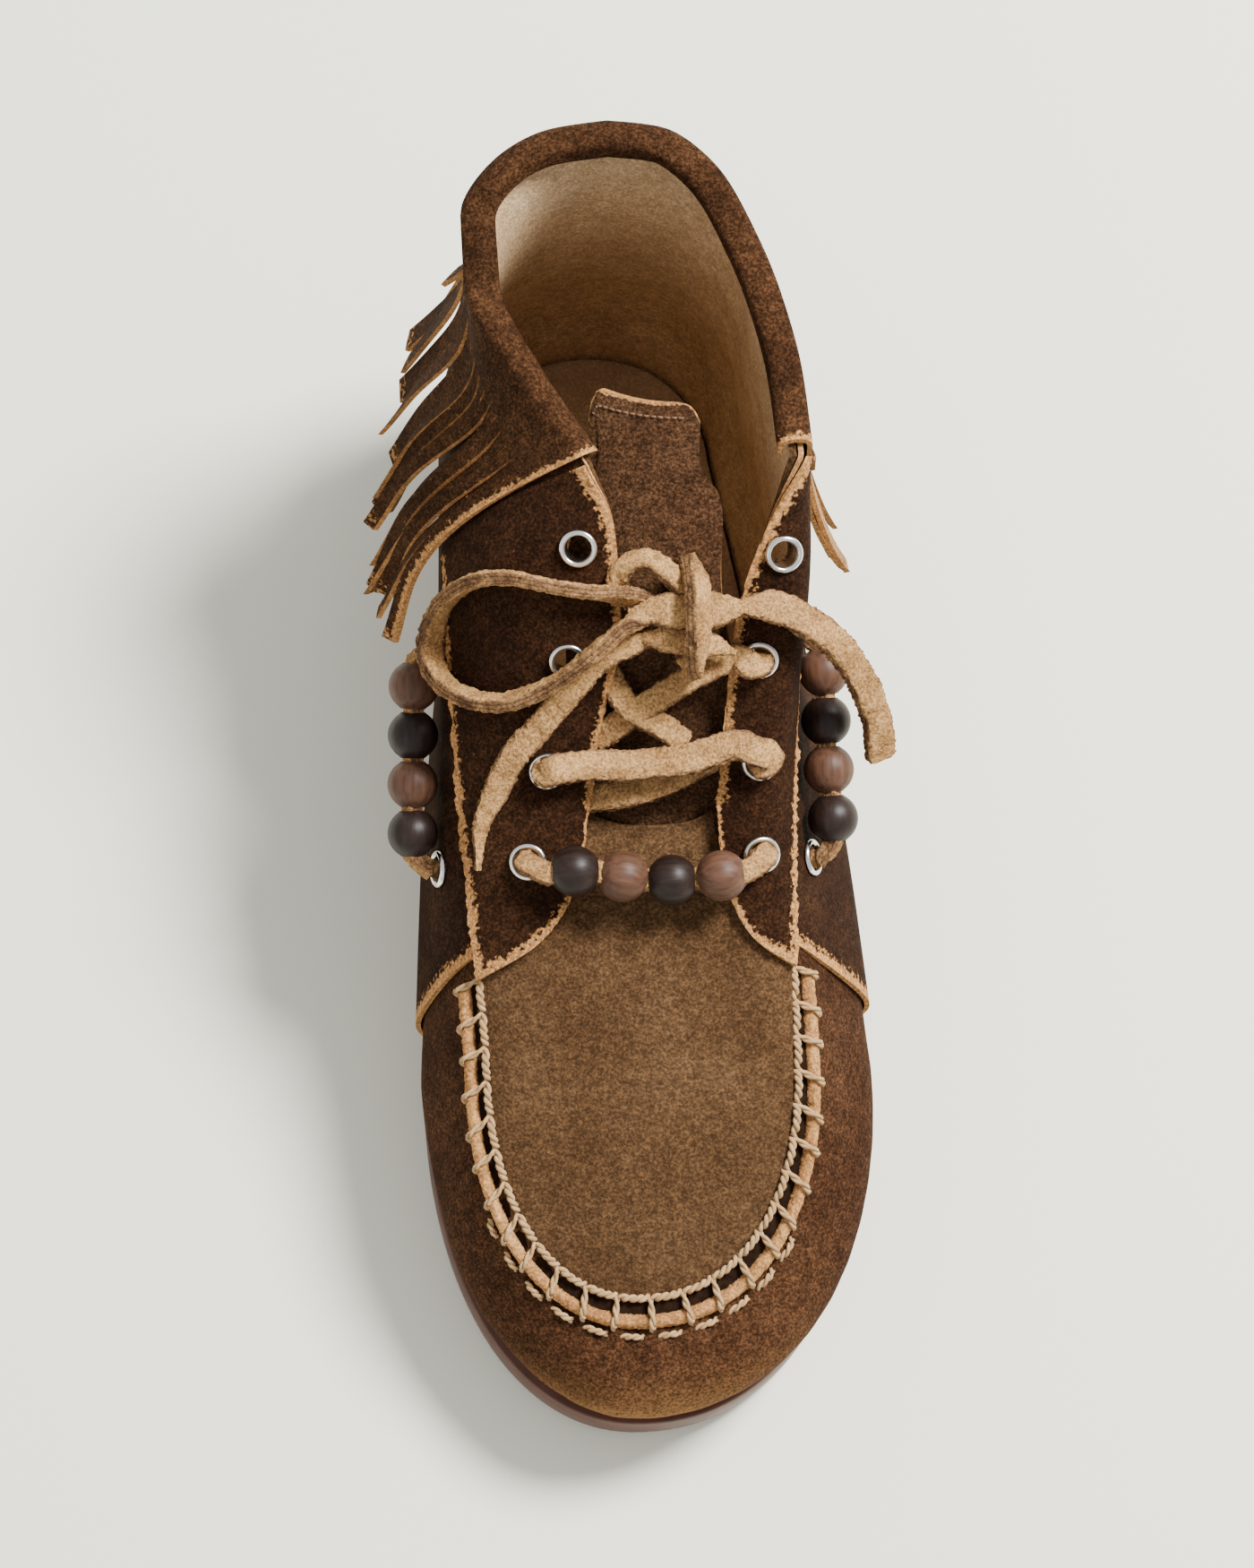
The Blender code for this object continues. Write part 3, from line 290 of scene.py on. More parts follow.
def plain_finish(name, deep, pale, size, rough, metallic=0.0, specular=0.3, depth=0.0001):
    material, tree, shader, place = base_material(name, rough, metallic, specular)
    mottle = noise(tree, place, size)
    link(tree, ramp(tree, mottle, ((0.35, deep), (0.65, pale))), shader.inputs["Base Color"])
    bump(tree, shader, ((noise(tree, place, size / 6), 0.2, depth),))
    return material


WALL_SUEDE = suede("wall_suede", (0.032, 0.0125, 0.0052), (0.046, 0.0190, 0.0080), (0.063, 0.028, 0.012))
PLUG_SUEDE = suede("plug_suede", (0.060, 0.030, 0.0125), (0.076, 0.039, 0.0170), (0.094, 0.050, 0.023), 0.6)
PANEL_SUEDE = suede("panel_suede", (0.017, 0.0066, 0.0028), (0.025, 0.0100, 0.0042), (0.037, 0.0160, 0.0068))
FRINGE_SUEDE = suede("fringe_suede", (0.028, 0.0115, 0.0046), (0.042, 0.0180, 0.0072), (0.062, 0.028, 0.0115))
TONGUE_SUEDE = suede("tongue_suede", (0.048, 0.0215, 0.0100), (0.063, 0.030, 0.0140), (0.082, 0.040, 0.019))
FLESH_SUEDE = suede("flesh_suede", (0.200, 0.110, 0.050), (0.270, 0.155, 0.072), (0.340, 0.200, 0.096), 0.5)
LINING = suede("lining_leather", (0.44, 0.290, 0.150), (0.54, 0.365, 0.200), (0.62, 0.440, 0.260), 0.35)
INSOLE_HIDE = suede("insole_hide", (0.42, 0.290, 0.170), (0.50, 0.350, 0.210), (0.58, 0.420, 0.260), 0.2)
CUT_EDGE = suede("cut_edge", (0.300, 0.140, 0.050), EDGE_TAN, (0.480, 0.255, 0.100), 0.5)
THONG = thong_leather()
THREAD = plain_finish("cream_thread", (0.34, 0.205, 0.095), (0.48, 0.310, 0.155), 0.0012, 0.9, 0.0, 0.1)
DARK_THREAD = plain_finish("brown_thread", (0.10, 0.05, 0.025), (0.17, 0.09, 0.045), 0.0012, 0.8)
# Near-black painted shade, for the gap along the apron seam where shadow falls.
SEAM_GAP_SHADE_PAINT = plain_finish("painted_seam_gap_shade", (0.010, 0.005, 0.003), (0.022, 0.011, 0.006), 0.002, 0.95, 0.0, 0.03)
NICKEL = plain_finish("bright_nickel", (0.70, 0.69, 0.67), (0.80, 0.79, 0.77), 0.004, 0.22, 1.0)
RUBBER = plain_finish("sole_rubber", (0.070, 0.026, 0.016), (0.098, 0.038, 0.024), 0.008, 0.42)
DARK_WOOD = turned_wood("dark_wood", (0.009, 0.0045, 0.0032), (0.022, 0.0115, 0.0085), 0.45)
BROWN_WOOD = turned_wood("brown_wood", (0.056, 0.024, 0.013), (0.108, 0.050, 0.028), 0.5)
PALE_FLOOR = plain_finish("pale_floor", FLOOR_COLOUR, FLOOR_COLOUR, 0.5, 0.9)
floor.data.materials.append(PALE_FLOOR)
print("Materials:", len(bpy.data.materials))

# %% [markdown]
# ## The last and its skin
# A shoe is built round a last, the solid form of a foot. These are the solids' own sections: each ring
# is a closed line round the upper at one share of the way up, and the skin is a smooth sheet through all
# of them. Every soft piece then takes its place from the same skin, at its own lift.

# %% Sizes of the last
LENGTH = 0.254
BALL_WIDTH = 0.098
UPPER_HEIGHT = 0.114
WALL = 0.0015
GAP = 0.0003
SOLE_HEEL = 0.0155
SOLE_BALL = 0.0100
TOE_SPRING = 0.0050
SOLE_RIM = 0.0026
STATIONS = (0.354, 0.157, -0.020, -0.217, -0.433)
CORNER_ROUND = 0.30
VAMP_ROUND = 0.55
QUARTER_FRONT = 0.63
EYESTAY_FRONT = 0.65
EYESTAY_FOOT = 0.5

Ring = namedtuple("Ring", "up heel corner vamp toe heel_round toe_round medial lateral height")
RINGS = (
    Ring(0.00, 0.465, 0.150, -0.079, -0.500, 0.118, 0.283,
         (0.296, 0.316, 0.367, 0.423), (0.296, 0.378, 0.444, 0.495),
         (0.000, 0.000, 0.000, 0.000, 0.000)),
    Ring(0.14, 0.480, 0.154, -0.079, -0.511, 0.130, 0.290,
         (0.337, 0.362, 0.418, 0.460), (0.337, 0.429, 0.500, 0.540),
         (0.193, 0.162, 0.149, 0.127, 0.105)),
    Ring(0.30, 0.472, 0.161, -0.075, -0.486, 0.130, 0.270,
         (0.327, 0.362, 0.408, 0.434), (0.332, 0.400, 0.445, 0.497),
         (0.404, 0.355, 0.307, 0.250, 0.193)),
    Ring(0.46, 0.463, 0.173, -0.067, -0.435, 0.126, 0.190,
         (0.306, 0.357, 0.362, 0.342), (0.327, 0.372, 0.360, 0.372),
         (0.596, 0.575, 0.474, 0.382, 0.237)),
    Ring(0.68, 0.463, 0.189, -0.055, -0.331, 0.122, 0.150,
         (0.281, 0.245, 0.214, 0.184), (0.321, 0.378, 0.306, 0.214),
         (0.798, 0.776, 0.579, 0.421, 0.289)),
)
Edge = namedtuple("Edge", "share medial_x medial_y lateral_x lateral_y height")
COLLAR_EDGE = (
    Edge(0.00, 0.010, 0.478, 0.010, 0.478, 0.991),
    Edge(0.17, -0.102, 0.473, 0.112, 0.472, 0.991),
    Edge(0.33, -0.204, 0.456, 0.209, 0.443, 0.982),
    Edge(0.50, -0.276, 0.415, 0.278, 0.392, 0.969),
    Edge(0.67, -0.276, 0.358, 0.327, 0.339, 0.956),
    Edge(0.83, -0.189, 0.281, 0.363, 0.272, 0.941),
    Edge(1.00, -0.066, 0.203, 0.376, 0.203, 0.927),
)
THROAT_EDGE = (
    Edge(0.00, -0.066, 0.203, 0.376, 0.203, 0.927),
    Edge(0.09, -0.015, 0.157, 0.316, 0.161, 0.860),
    Edge(0.18, -0.010, 0.094, 0.250, 0.100, 0.757),
    Edge(0.27, -0.056, 0.031, 0.222, 0.033, 0.651),
    Edge(0.365, -0.097, -0.028, 0.209, -0.028, 0.561),
    Edge(0.57, -0.051, -0.043, 0.168, -0.043, 0.537),
    Edge(0.78, 0.005, -0.048, 0.117, -0.048, 0.529),
    Edge(1.00, 0.061, -0.049, 0.061, -0.049, 0.527),
)
print("Rings round the last:", len(RINGS))


# %% Smooth curves
def slopes(knots, values, flat_ends):
    """Slopes at the knots that keep a curve through the values from overshooting."""
    step = np.diff(knots)
    rise = np.diff(values) / step
    out = np.zeros(len(knots))
    for i in range(1, len(knots) - 1):
        if rise[i - 1] * rise[i] > 0:
            w1, w2 = 2 * step[i] + step[i - 1], step[i] + 2 * step[i - 1]
            out[i] = (w1 + w2) / (w1 / rise[i - 1] + w2 / rise[i])
    if not flat_ends:
        out[0], out[-1] = rise[0], rise[-1]
    return out


def curve(knots, values, at, flat_ends=False):
    """A smooth curve through the values at the knots, level past its ends."""
    knots, values = np.asarray(knots, float), np.asarray(values, float)
    if knots[0] > knots[-1]:
        knots, values = knots[::-1], values[::-1]
    tangent = slopes(knots, values, flat_ends)
    at = np.clip(np.asarray(at, float), knots[0], knots[-1])
    i = np.clip(np.searchsorted(knots, at, side="right") - 1, 0, len(knots) - 2)
    h = knots[i + 1] - knots[i]
    u = (at - knots[i]) / h
    return (
        values[i] * (1 + 2 * u) * (1 - u) ** 2
        + tangent[i] * h * u * (1 - u) ** 2
        + values[i + 1] * u * u * (3 - 2 * u)
        + tangent[i + 1] * h * u * u * (u - 1)
    )


def spline_weights(knots, at):
    """How much each knot counts at each place, for a natural cubic spline."""
    n = len(knots)
    h = np.diff(knots)
    system, right = np.zeros((n, n)), np.zeros((n, n))
    system[0, 0] = system[-1, -1] = 1
    for i in range(1, n - 1):
        system[i, i - 1 : i + 2] = h[i - 1], 2 * (h[i - 1] + h[i]), h[i]
        right[i, i - 1] = 6 / h[i - 1]
        right[i, i] = -6 / h[i - 1] - 6 / h[i]
        right[i, i + 1] = 6 / h[i]
    bends = np.linalg.solve(system, right)
    at = np.asarray(at, float)
    i = np.clip(np.searchsorted(knots, at, side="right") - 1, 0, n - 2)
    step = h[i]
    a, b = (knots[i + 1] - at) / step, (at - knots[i]) / step
    unit = np.eye(n)
    bend_a = ((a**3 - a) * step**2 / 6)[..., None] * bends[i]
    bend_b = ((b**3 - b) * step**2 / 6)[..., None] * bends[i + 1]
    return a[..., None] * unit[i] + b[..., None] * unit[i + 1] + bend_a + bend_b


# %% The skin
KNOTS = np.array([r.up for r in RINGS] + [1.0])


def sole_bottom(y):
    start, toe = -0.30 * LENGTH, -0.52 * LENGTH
    return TOE_SPRING * np.clip((np.asarray(y) - start) / (toe - start), 0, 1) ** 2


def sole_top(y):
    middle = 0.55 * SOLE_BALL + 0.45 * SOLE_HEEL
    places = (0.35 * LENGTH, 0.0, -0.2 * LENGTH)
    return curve(places, (SOLE_HEEL, middle, SOLE_BALL), y, flat_ends=True) + sole_bottom(y)


def end_round(distance, radius, power=2.15):
    inner = np.clip(1 - distance / radius, 0, 1)
    return (1 - inner**power) ** (1 / power)


def ring_points(ring, side, around):
    places = [LENGTH * y for y in (ring.heel, ring.corner, ring.vamp, ring.toe)]
    y = curve((0, CORNER_ROUND, VAMP_ROUND, 1), places, around, flat_ends=True)
    stations = [LENGTH * s for s in STATIONS]
    half = BALL_WIDTH * curve(stations[:4], ring.medial if side < 0 else ring.lateral, y)
    full = end_round(ring.heel * LENGTH - y, ring.heel_round * LENGTH)
    full = full * end_round(y - ring.toe * LENGTH, ring.toe_round * LENGTH)
    z = sole_top(y) + GAP + UPPER_HEIGHT * curve(stations, ring.height, y)
    return np.stack([side * half * full, y, z], axis=-1)


def edge_points(side, around):
    around = np.asarray(around, float)
    out = np.zeros(around.shape + (3,))
    parts = ((COLLAR_EDGE, 0.0, CORNER_ROUND), (THROAT_EDGE, CORNER_ROUND, 1.0))
    for rows, start, end in parts:
        here = (around >= start) & (around <= end)
        share = (around[here] - start) / (end - start)
        knots = [r.share for r in rows]
        xs = [r.medial_x if side < 0 else r.lateral_x for r in rows]
        ys = [r.medial_y if side < 0 else r.lateral_y for r in rows]
        x = BALL_WIDTH * curve(knots, xs, share)
        y = LENGTH * curve(knots, ys, share)
        z = UPPER_HEIGHT * curve(knots, [r.height for r in rows], share)
        out[here] = np.stack([x, y, z + sole_top(y) + GAP], axis=-1)
    return out


def bare_skin(around, up):
    """The upper's outer surface: around from the heel by the lateral side to 1 at the toe."""
    around, up = np.broadcast_arrays(np.mod(np.asarray(around, float), 2), np.asarray(up, float))
    weights = spline_weights(KNOTS, up)
    out = np.zeros(around.shape + (3,))
    for side in (-1, 1):
        share = around if side > 0 else 2 - around
        here = around <= 1 if side > 0 else around > 1
        lines = [ring_points(r, side, share) for r in RINGS] + [edge_points(side, share)]
        points = sum(weights[..., k, None] * line for k, line in enumerate(lines))
        out[here] = points[here]
    return out


def unit(vectors):
    return vectors / np.linalg.norm(vectors, axis=-1, keepdims=True)


def skin_normal(around, up):
    step = 0.004
    up = np.asarray(up, float)
    over = bare_skin(around + step, up) - bare_skin(around - step, up)
    low, high = np.clip(up - step, 0, 1), np.clip(up + step, 0, 1)
    return unit(np.cross(bare_skin(around, high) - bare_skin(around, low), over))


def skin(around, up, lift=0.0):
    around, up = np.asarray(around, float), np.asarray(up, float)
    return bare_skin(around, up) + np.asarray(lift, float)[..., None] * skin_normal(around, up)


def side_around(side, share):
    return share if side > 0 else 2 - share


print("The skin's toe tip is at y %.1f mm" % (1000 * bare_skin(1.0, 0.14)[1]))

# %% [markdown]
# ## Mesh helpers
# Two helpers make nearly everything. One turns two grids of points into a thick sheet with walled edges.
# The other sweeps a section along a route, for thongs and thread.


# %% Thick sheets
def finish_mesh(name, verts, faces, mats, which, attributes=(), smooth=40):
    mesh = bpy.data.meshes.new(name)
    mesh.from_pydata([tuple(v) for v in verts], [], [tuple(map(int, f)) for f in faces])
    for material in mats:
        mesh.materials.append(material)
    mesh.polygons.foreach_set("material_index", np.asarray(which, np.int32))
    for title, values in attributes:
        layer = mesh.attributes.new(title, "FLOAT", "POINT")
        layer.data.foreach_set("value", np.asarray(values, np.float32))
    bm = bmesh.new()
    bm.from_mesh(mesh)
    bmesh.ops.delete(bm, geom=[v for v in bm.verts if not v.link_faces], context="VERTS")
    bmesh.ops.recalc_face_normals(bm, faces=bm.faces)
    bm.to_mesh(mesh)
    bm.free()
    mesh.shade_smooth()
    mesh.set_sharp_from_angle(angle=math.radians(smooth))
    return new_object(name, mesh)


def thick_sheet(name, front, back, mats, cells=None, closed=False, front_mat=None, edge=None, wear=None):
    """Mats are the front, the back and the cut edge. Front_mat picks a material for each cell."""
    rows, cols = front.shape[:2]
    wide = rows if closed else rows - 1
    top = np.arange(rows * cols).reshape(rows, cols)
    low = top + rows * cols
    i, j = np.meshgrid(np.arange(wide), np.arange(cols - 1), indexing="ij")
    k = (i + 1) % rows
    cells = np.ones((wide, cols - 1), bool) if cells is None else cells
    front_mat = np.zeros((wide, cols - 1), int) if front_mat is None else front_mat
    ring = ((i, j), (k, j), (k, j + 1), (i, j + 1))
    faces = [np.stack([top[a, b] for a, b in ring[::-1]], -1)[cells]]
    faces.append(np.stack([low[a, b] for a, b in ring], -1)[cells])
    which = [front_mat[cells], np.ones(cells.sum(), int)]
    padded = np.zeros((wide + 2, cols + 1), bool)
    padded[1:-1, 1:-1] = cells
    if closed:
        padded[0, 1:-1], padded[-1, 1:-1] = cells[-1], cells[0]
    moves = ((1, 0), (2, 1), (1, 2), (0, 1))
    for n, (di, dj) in enumerate(moves):
        bare = cells & ~padded[di : di + wide, dj : dj + cols - 1]
        (a, b), (c, d) = ring[n], ring[(n + 1) % 4]
        wall = np.stack([top[a, b], top[c, d], low[c, d], low[a, b]], -1)[bare]
        faces.append(wall)
        which.append(np.full(len(wall), 2))
    marks = []
    for title, values in (("edge", edge), ("wear", wear)):
        if values is not None:
            marks.append((title, np.concatenate([values.ravel(), values.ravel()])))
    verts = np.concatenate([front.reshape(-1, 3), back.reshape(-1, 3)])
    return finish_mesh(name, verts, np.concatenate(faces), mats, np.concatenate(which), marks)


def near_border(grid, sides, reach=0.0022):
    """1 at the named borders of a grid of points, falling to 0 at the reach."""
    down = np.linalg.norm(np.diff(grid, axis=0), axis=-1)
    over = np.linalg.norm(np.diff(grid, axis=1), axis=-1)
    zero_row, zero_col = np.zeros((1, grid.shape[1])), np.zeros((grid.shape[0], 1))
    run_i = np.concatenate([zero_row, np.cumsum(down, axis=0)])
    run_j = np.concatenate([zero_col, np.cumsum(over, axis=1)], axis=1)
    far = np.full(grid.shape[:2], 1.0)
    tables = {"first": run_i, "last": run_i[-1:] - run_i, "low": run_j, "high": run_j[:, -1:] - run_j}
    for side in sides:
        far = np.minimum(far, tables[side])
    return np.clip(1 - far / reach, 0, 1)


def place_piece(obj, slot, *nodes):
    """Fix a piece to the boot and hide the solids that it stands for. The slot, its finish, is not used."""
    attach(obj, "root")
    if nodes:
        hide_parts(*nodes)
    return obj


# %% Swept thongs and thread
def smooth_route(points, spacing):
    """A smooth curve through the points, read at even steps."""
    points = [np.asarray(p, float) for p in points]
    ends = [2 * points[0] - points[1]] + points + [2 * points[-1] - points[-2]]
    fine = []
    for a, b, c, d in zip(ends, ends[1:], ends[2:], ends[3:]):
        for k in range(20):
            t = k / 20
            bend = (2 * a - 5 * b + 4 * c - d) * t * t + (3 * b - a - 3 * c + d) * t**3
            fine.append(0.5 * (2 * b + (c - a) * t + bend))
    fine = np.array(fine + [points[-1]])
    run = np.concatenate([[0], np.cumsum(np.linalg.norm(np.diff(fine, axis=0), axis=1))])
    at = np.linspace(0, run[-1], max(2, round(run[-1] / spacing)) + 1)
    return np.stack([np.interp(at, run, fine[:, k]) for k in range(3)], axis=-1)


def run_length(route):
    return float(np.linalg.norm(np.diff(route, axis=0), axis=1).sum())


def sweep(route, facing, width, thick, around=24, square=0.5, rough=0.00016, seed=0, taper=(0, 0), uneven=0.045):
    """Rings of a rounded strip along a route, with its flat face turned to facing."""
    ahead = unit(np.gradient(route, axis=0))
    facing = np.broadcast_to(np.asarray(facing, float), route.shape)
    out = unit(facing - (facing * ahead).sum(-1, keepdims=True) * ahead)
    over = np.cross(ahead, out)
    angle = np.linspace(0, 2 * math.pi, around, endpoint=False)
    flat = np.sign(np.cos(angle)) * np.abs(np.cos(angle)) ** square
    high = np.sign(np.sin(angle)) * np.abs(np.sin(angle)) ** square
    groove = 1 - 0.10 * np.exp(-((high / 0.35) ** 2)) * (np.abs(flat) > 0.8)
    share = np.linspace(0, 1, len(route))
    thin = np.ones(len(route))
    for length, at in zip(taper, (share, 1 - share)):
        if length:
            thin *= np.clip(at / length, 0.12, 1) ** 0.7
    rng = np.random.default_rng(seed)
    shake = rng.normal(0, rough, (len(route), around))
    marks = np.linspace(0, 1, max(4, len(route) // 6))
    thin = thin * (1 + uneven * np.interp(share, marks, rng.uniform(-1, 1, len(marks))))
    w = (width * thin / 2)[:, None] * flat * groove + shake * flat
    t = (thick * (0.4 + 0.6 * thin) / 2)[:, None] * high + shake * high
    rings = route[:, None] + w[..., None] * over[:, None] + t[..., None] * out[:, None]
    side = np.broadcast_to(np.abs(flat) ** 3, rings.shape[:2])
    level = np.broadcast_to(0.5 + 0.5 * high, rings.shape[:2])
    return rings, side, level


def swept_mesh(name, sweeps, material):
    """One mesh of several swept strips, each closed at its two ends."""
    verts, faces, sides, levels, base = [], [], [], [], 0
    for rings, side, level in sweeps:
        n, m = rings.shape[:2]
        at = base + np.arange(n * m).reshape(n, m)
        nxt = np.roll(at, -1, axis=1)
        faces += list(np.stack([at[:-1], nxt[:-1], nxt[1:], at[1:]], -1).reshape(-1, 4))
        for row, pole in ((0, base + n * m), (-1, base + n * m + 1)):
            faces += [(at[row, k], nxt[row, k], pole) for k in range(m)]
        verts += [rings.reshape(-1, 3), rings[0].mean(0)[None], rings[-1].mean(0)[None]]
        sides += [side.ravel(), [0.0, 0.0]]
        levels += [level.ravel(), [0.5, 0.5]]
        base += n * m + 2
    marks = (("side", np.concatenate(sides)), ("across", np.concatenate(levels)))
    which = np.zeros(len(faces), int)
    return finish_mesh(name, np.concatenate(verts), faces, [material], which, marks, smooth=60)


# %% [markdown]
# ## The bow
# The lace is one thong, slit from hide and tied in a half bow: a knot, one loop and two loose ends. They
# are the only free cords on the boot, so they come before anything else. The loop stands on its edge,
# which shows the grooved side. The ends lie flat and show the nap.

# %% The bow's loop and ends
THONG_THICK = 0.0031
LOOP_LENGTH = 0.130
MEDIAL_END_LENGTH = 0.069
LATERAL_END_LENGTH = 0.063
LOOP_ROUTE = (
    (0.0066, 0.0250, 0.1092), (-0.0020, 0.0262, 0.1100), (-0.0136, 0.0280, 0.1108),
    (-0.0239, 0.0314, 0.1084), (-0.0316, 0.0330, 0.1020), (-0.0374, 0.0316, 0.0926),
    (-0.0402, 0.0257, 0.0840), (-0.0386, 0.0181, 0.0848), (-0.0336, 0.0124, 0.0892),
    (-0.0259, 0.0092, 0.0935), (-0.0168, 0.0104, 0.0985), (-0.0100, 0.0130, 0.1044),
    (-0.0041, 0.0166, 0.1083), (0.0015, 0.0203, 0.1096), (0.0066, 0.0209, 0.1100),
)
MEDIAL_END_ROUTE = (
    (0.0070, 0.0176, 0.1058), (0.0008, 0.0170, 0.1050), (-0.0054, 0.0150, 0.1030),
    (-0.0118, 0.0098, 0.0975), (-0.0180, 0.0043, 0.0917), (-0.0236, -0.0003, 0.0868),
    (-0.0277, -0.0064, 0.0816), (-0.0311, -0.0130, 0.0772), (-0.0320, -0.0211, 0.0734),
)
LATERAL_END_ROUTE = (
    (0.0220, 0.0225, 0.1096), (0.0308, 0.0223, 0.1098), (0.0384, 0.0200, 0.1055),
    (0.0451, 0.0174, 0.0970), (0.0505, 0.0131, 0.0870), (0.0542, 0.0077, 0.0770),
    (0.0554, 0.0017, 0.0690),
)
KNOT_CENTRE = Vector((0.0145, 0.0213, 0.1095))
STEP = 0.0007

cords = {}
bow = (
    ("loop", LOOP_ROUTE, (-0.15, -0.35, 0.55), (0.04, 0.04), 0.0056),
    ("end_medial", MEDIAL_END_ROUTE, (0.10, -0.20, 1.0), (0.10, 0.30), 0.0060),
    ("end_lateral", LATERAL_END_ROUTE, (0.25, -0.20, 1.0), (0.12, 0.0), 0.0068),
)
for number, (word, points, facing, taper, wide) in enumerate(bow):
    route = smooth_route(points, STEP)
    if word == "loop":
        inward = unit(route.mean(0) - route)
        facing = 0.9 * inward + np.array((0, -0.05, 0.45))
    strip = sweep(route, facing, wide, THONG_THICK, seed=number, taper=taper)
    cords[word] = (swept_mesh("bow_" + word, [strip], THONG), route)
    print("bow_%s is %.1f mm long" % (word, 1000 * run_length(route)))

# %% [markdown]
# ## The knot
# A knot is the same thong drawn tight: one turn over the bundle of strands, with a short tuck beside it.

# %% The knot
WRAP_ROUTE = (
    (0.0134, 0.0290, 0.1030), (0.0137, 0.0322, 0.1052), (0.0142, 0.0316, 0.1100), (0.0147, 0.0282, 0.1142), (0.0148, 0.0215, 0.1156),
    (0.0145, 0.0152, 0.1140), (0.0139, 0.0114, 0.1092), (0.0134, 0.0118, 0.1044), (0.0130, 0.0150, 0.1020),
)
TUCK_ROUTE = (
    (0.0010, 0.0240, 0.1075), (-0.0012, 0.0290, 0.1092), (0.0010, 0.0318, 0.1120), (0.0052, 0.0322, 0.1134),
    (0.0096, 0.0290, 0.1132), (0.0136, 0.0250, 0.1105),
)
BUNDLE_ROUTE = (
    (0.0010, 0.0228, 0.1082), (0.0060, 0.0224, 0.1100), (0.0110, 0.0218, 0.1106), (0.0170, 0.0218, 0.1104),
    (0.0230, 0.0224, 0.1096), (0.0262, 0.0226, 0.1092),
)
LOW_BUNDLE_ROUTE = (
    (0.0020, 0.0184, 0.1050), (0.0070, 0.0172, 0.1072), (0.0125, 0.0160, 0.1076), (0.0180, 0.0156, 0.1062),
    (0.0225, 0.0150, 0.1030),
)
knot_strips = [
    sweep(smooth_route(WRAP_ROUTE, STEP), (0.85, 0.0, 0.75), 0.0060, 0.0040, square=0.6, seed=11),
    sweep(smooth_route(TUCK_ROUTE, STEP), (0.1, 0.3, 1.0), 0.0052, 0.0032, square=0.7, seed=12, taper=(0.2, 0.1)),
    sweep(smooth_route(BUNDLE_ROUTE, STEP), (0.0, -0.1, 1.0), 0.0080, 0.0044, square=0.7, seed=13, taper=(0.3, 0.3)),
    sweep(smooth_route(LOW_BUNDLE_ROUTE, STEP), (0.0, -0.3, 1.0), 0.0058, 0.0036, square=0.7, seed=14,
          taper=(0.3, 0.3)),
]
knot = swept_mesh("bow_knot", knot_strips, THONG)
place_piece(knot, "thong", "lace_knot")
for word, length in (
    ("loop", LOOP_LENGTH), ("end_medial", MEDIAL_END_LENGTH), ("end_lateral", LATERAL_END_LENGTH),
):
    piece, route = cords[word]
    place_piece(piece, "thong", "lace_" + word)
print("The knot is %.0f mm across the boot" % (1000 * knot.dimensions.x))

# %% [markdown]
# ## Eyelets
# An eyelet is a brass tube, plated, whose top is rolled over into a ring. The ring's section is a small
# half round, so it is turned as a lathe would make it.

# %% Places of the eyelets
QUARTER_LOW, QUARTER_HIGH = 0.0004, 0.0015
EYESTAY_LOW, EYESTAY_HIGH = 0.0019, 0.0031
LAYER_GAP = 0.0004
Place = namedtuple("Place", "name side around up")
THROAT_EYELETS = (
    Place("medial_1", -1, 0.573, 0.668), Place("medial_2", -1, 0.500, 0.762),
    Place("medial_3", -1, 0.430, 0.835), Place("medial_4", -1, 0.362, 0.895),
    Place("lateral_1", 1, 0.578, 0.690), Place("lateral_2", 1, 0.503, 0.790),
    Place("lateral_3", 1, 0.440, 0.870), Place("lateral_4", 1, 0.372, 0.885),
)
SIDE_EYELETS = (
    Place("medial_front", -1, 0.540, 0.395), Place("medial_rear", -1, 0.362, 0.435),
    Place("lateral_front", 1, 0.545, 0.400), Place("lateral_rear", 1, 0.362, 0.435),
)


def seat(place, lift):
    around = side_around(place.side, place.around)
    return skin(around, place.up, lift), skin_normal(around, place.up)


def holes(points, places, radius):
    """True where a point lies within the radius of an eyelet's axis."""
    out = np.zeros(points.shape[:-1], bool)
    for place in places:
        centre, normal = seat(place, 0.0)
        away = points - centre
        along = (away * normal).sum(-1)
        flat = away - along[..., None] * normal
        out |= (np.linalg.norm(flat, axis=-1) < radius) & (np.abs(along) < 0.012)
    return out


def lathe(name, profile, steps, mats):
    """Turn a closed profile of radius and height about Z."""
    profile = np.array(profile)
    angle = np.linspace(0, 2 * math.pi, steps, endpoint=False)
    ring = np.stack([np.cos(angle), np.sin(angle)], -1)
    verts = np.concatenate([np.concatenate([r * ring, np.full((steps, 1), z)], 1) for r, z in profile])
    at = np.arange(len(profile) * steps).reshape(len(profile), steps)
    up, over = np.roll(at, -1, axis=0), np.roll(at, -1, axis=1)
    faces = np.stack([at, over, np.roll(up, -1, axis=1), up], -1).reshape(-1, 4)
    return finish_mesh(name, verts, faces, mats, np.zeros(len(faces), int), smooth=50)


def settle(obj, point, normal, spin=0.0):
    obj.matrix_world = (
        Matrix.Translation(Vector(point))
        @ Vector(normal).to_track_quat("Z", "Y").to_matrix().to_4x4()
        @ Matrix.Rotation(spin, 4, "Z")
    )


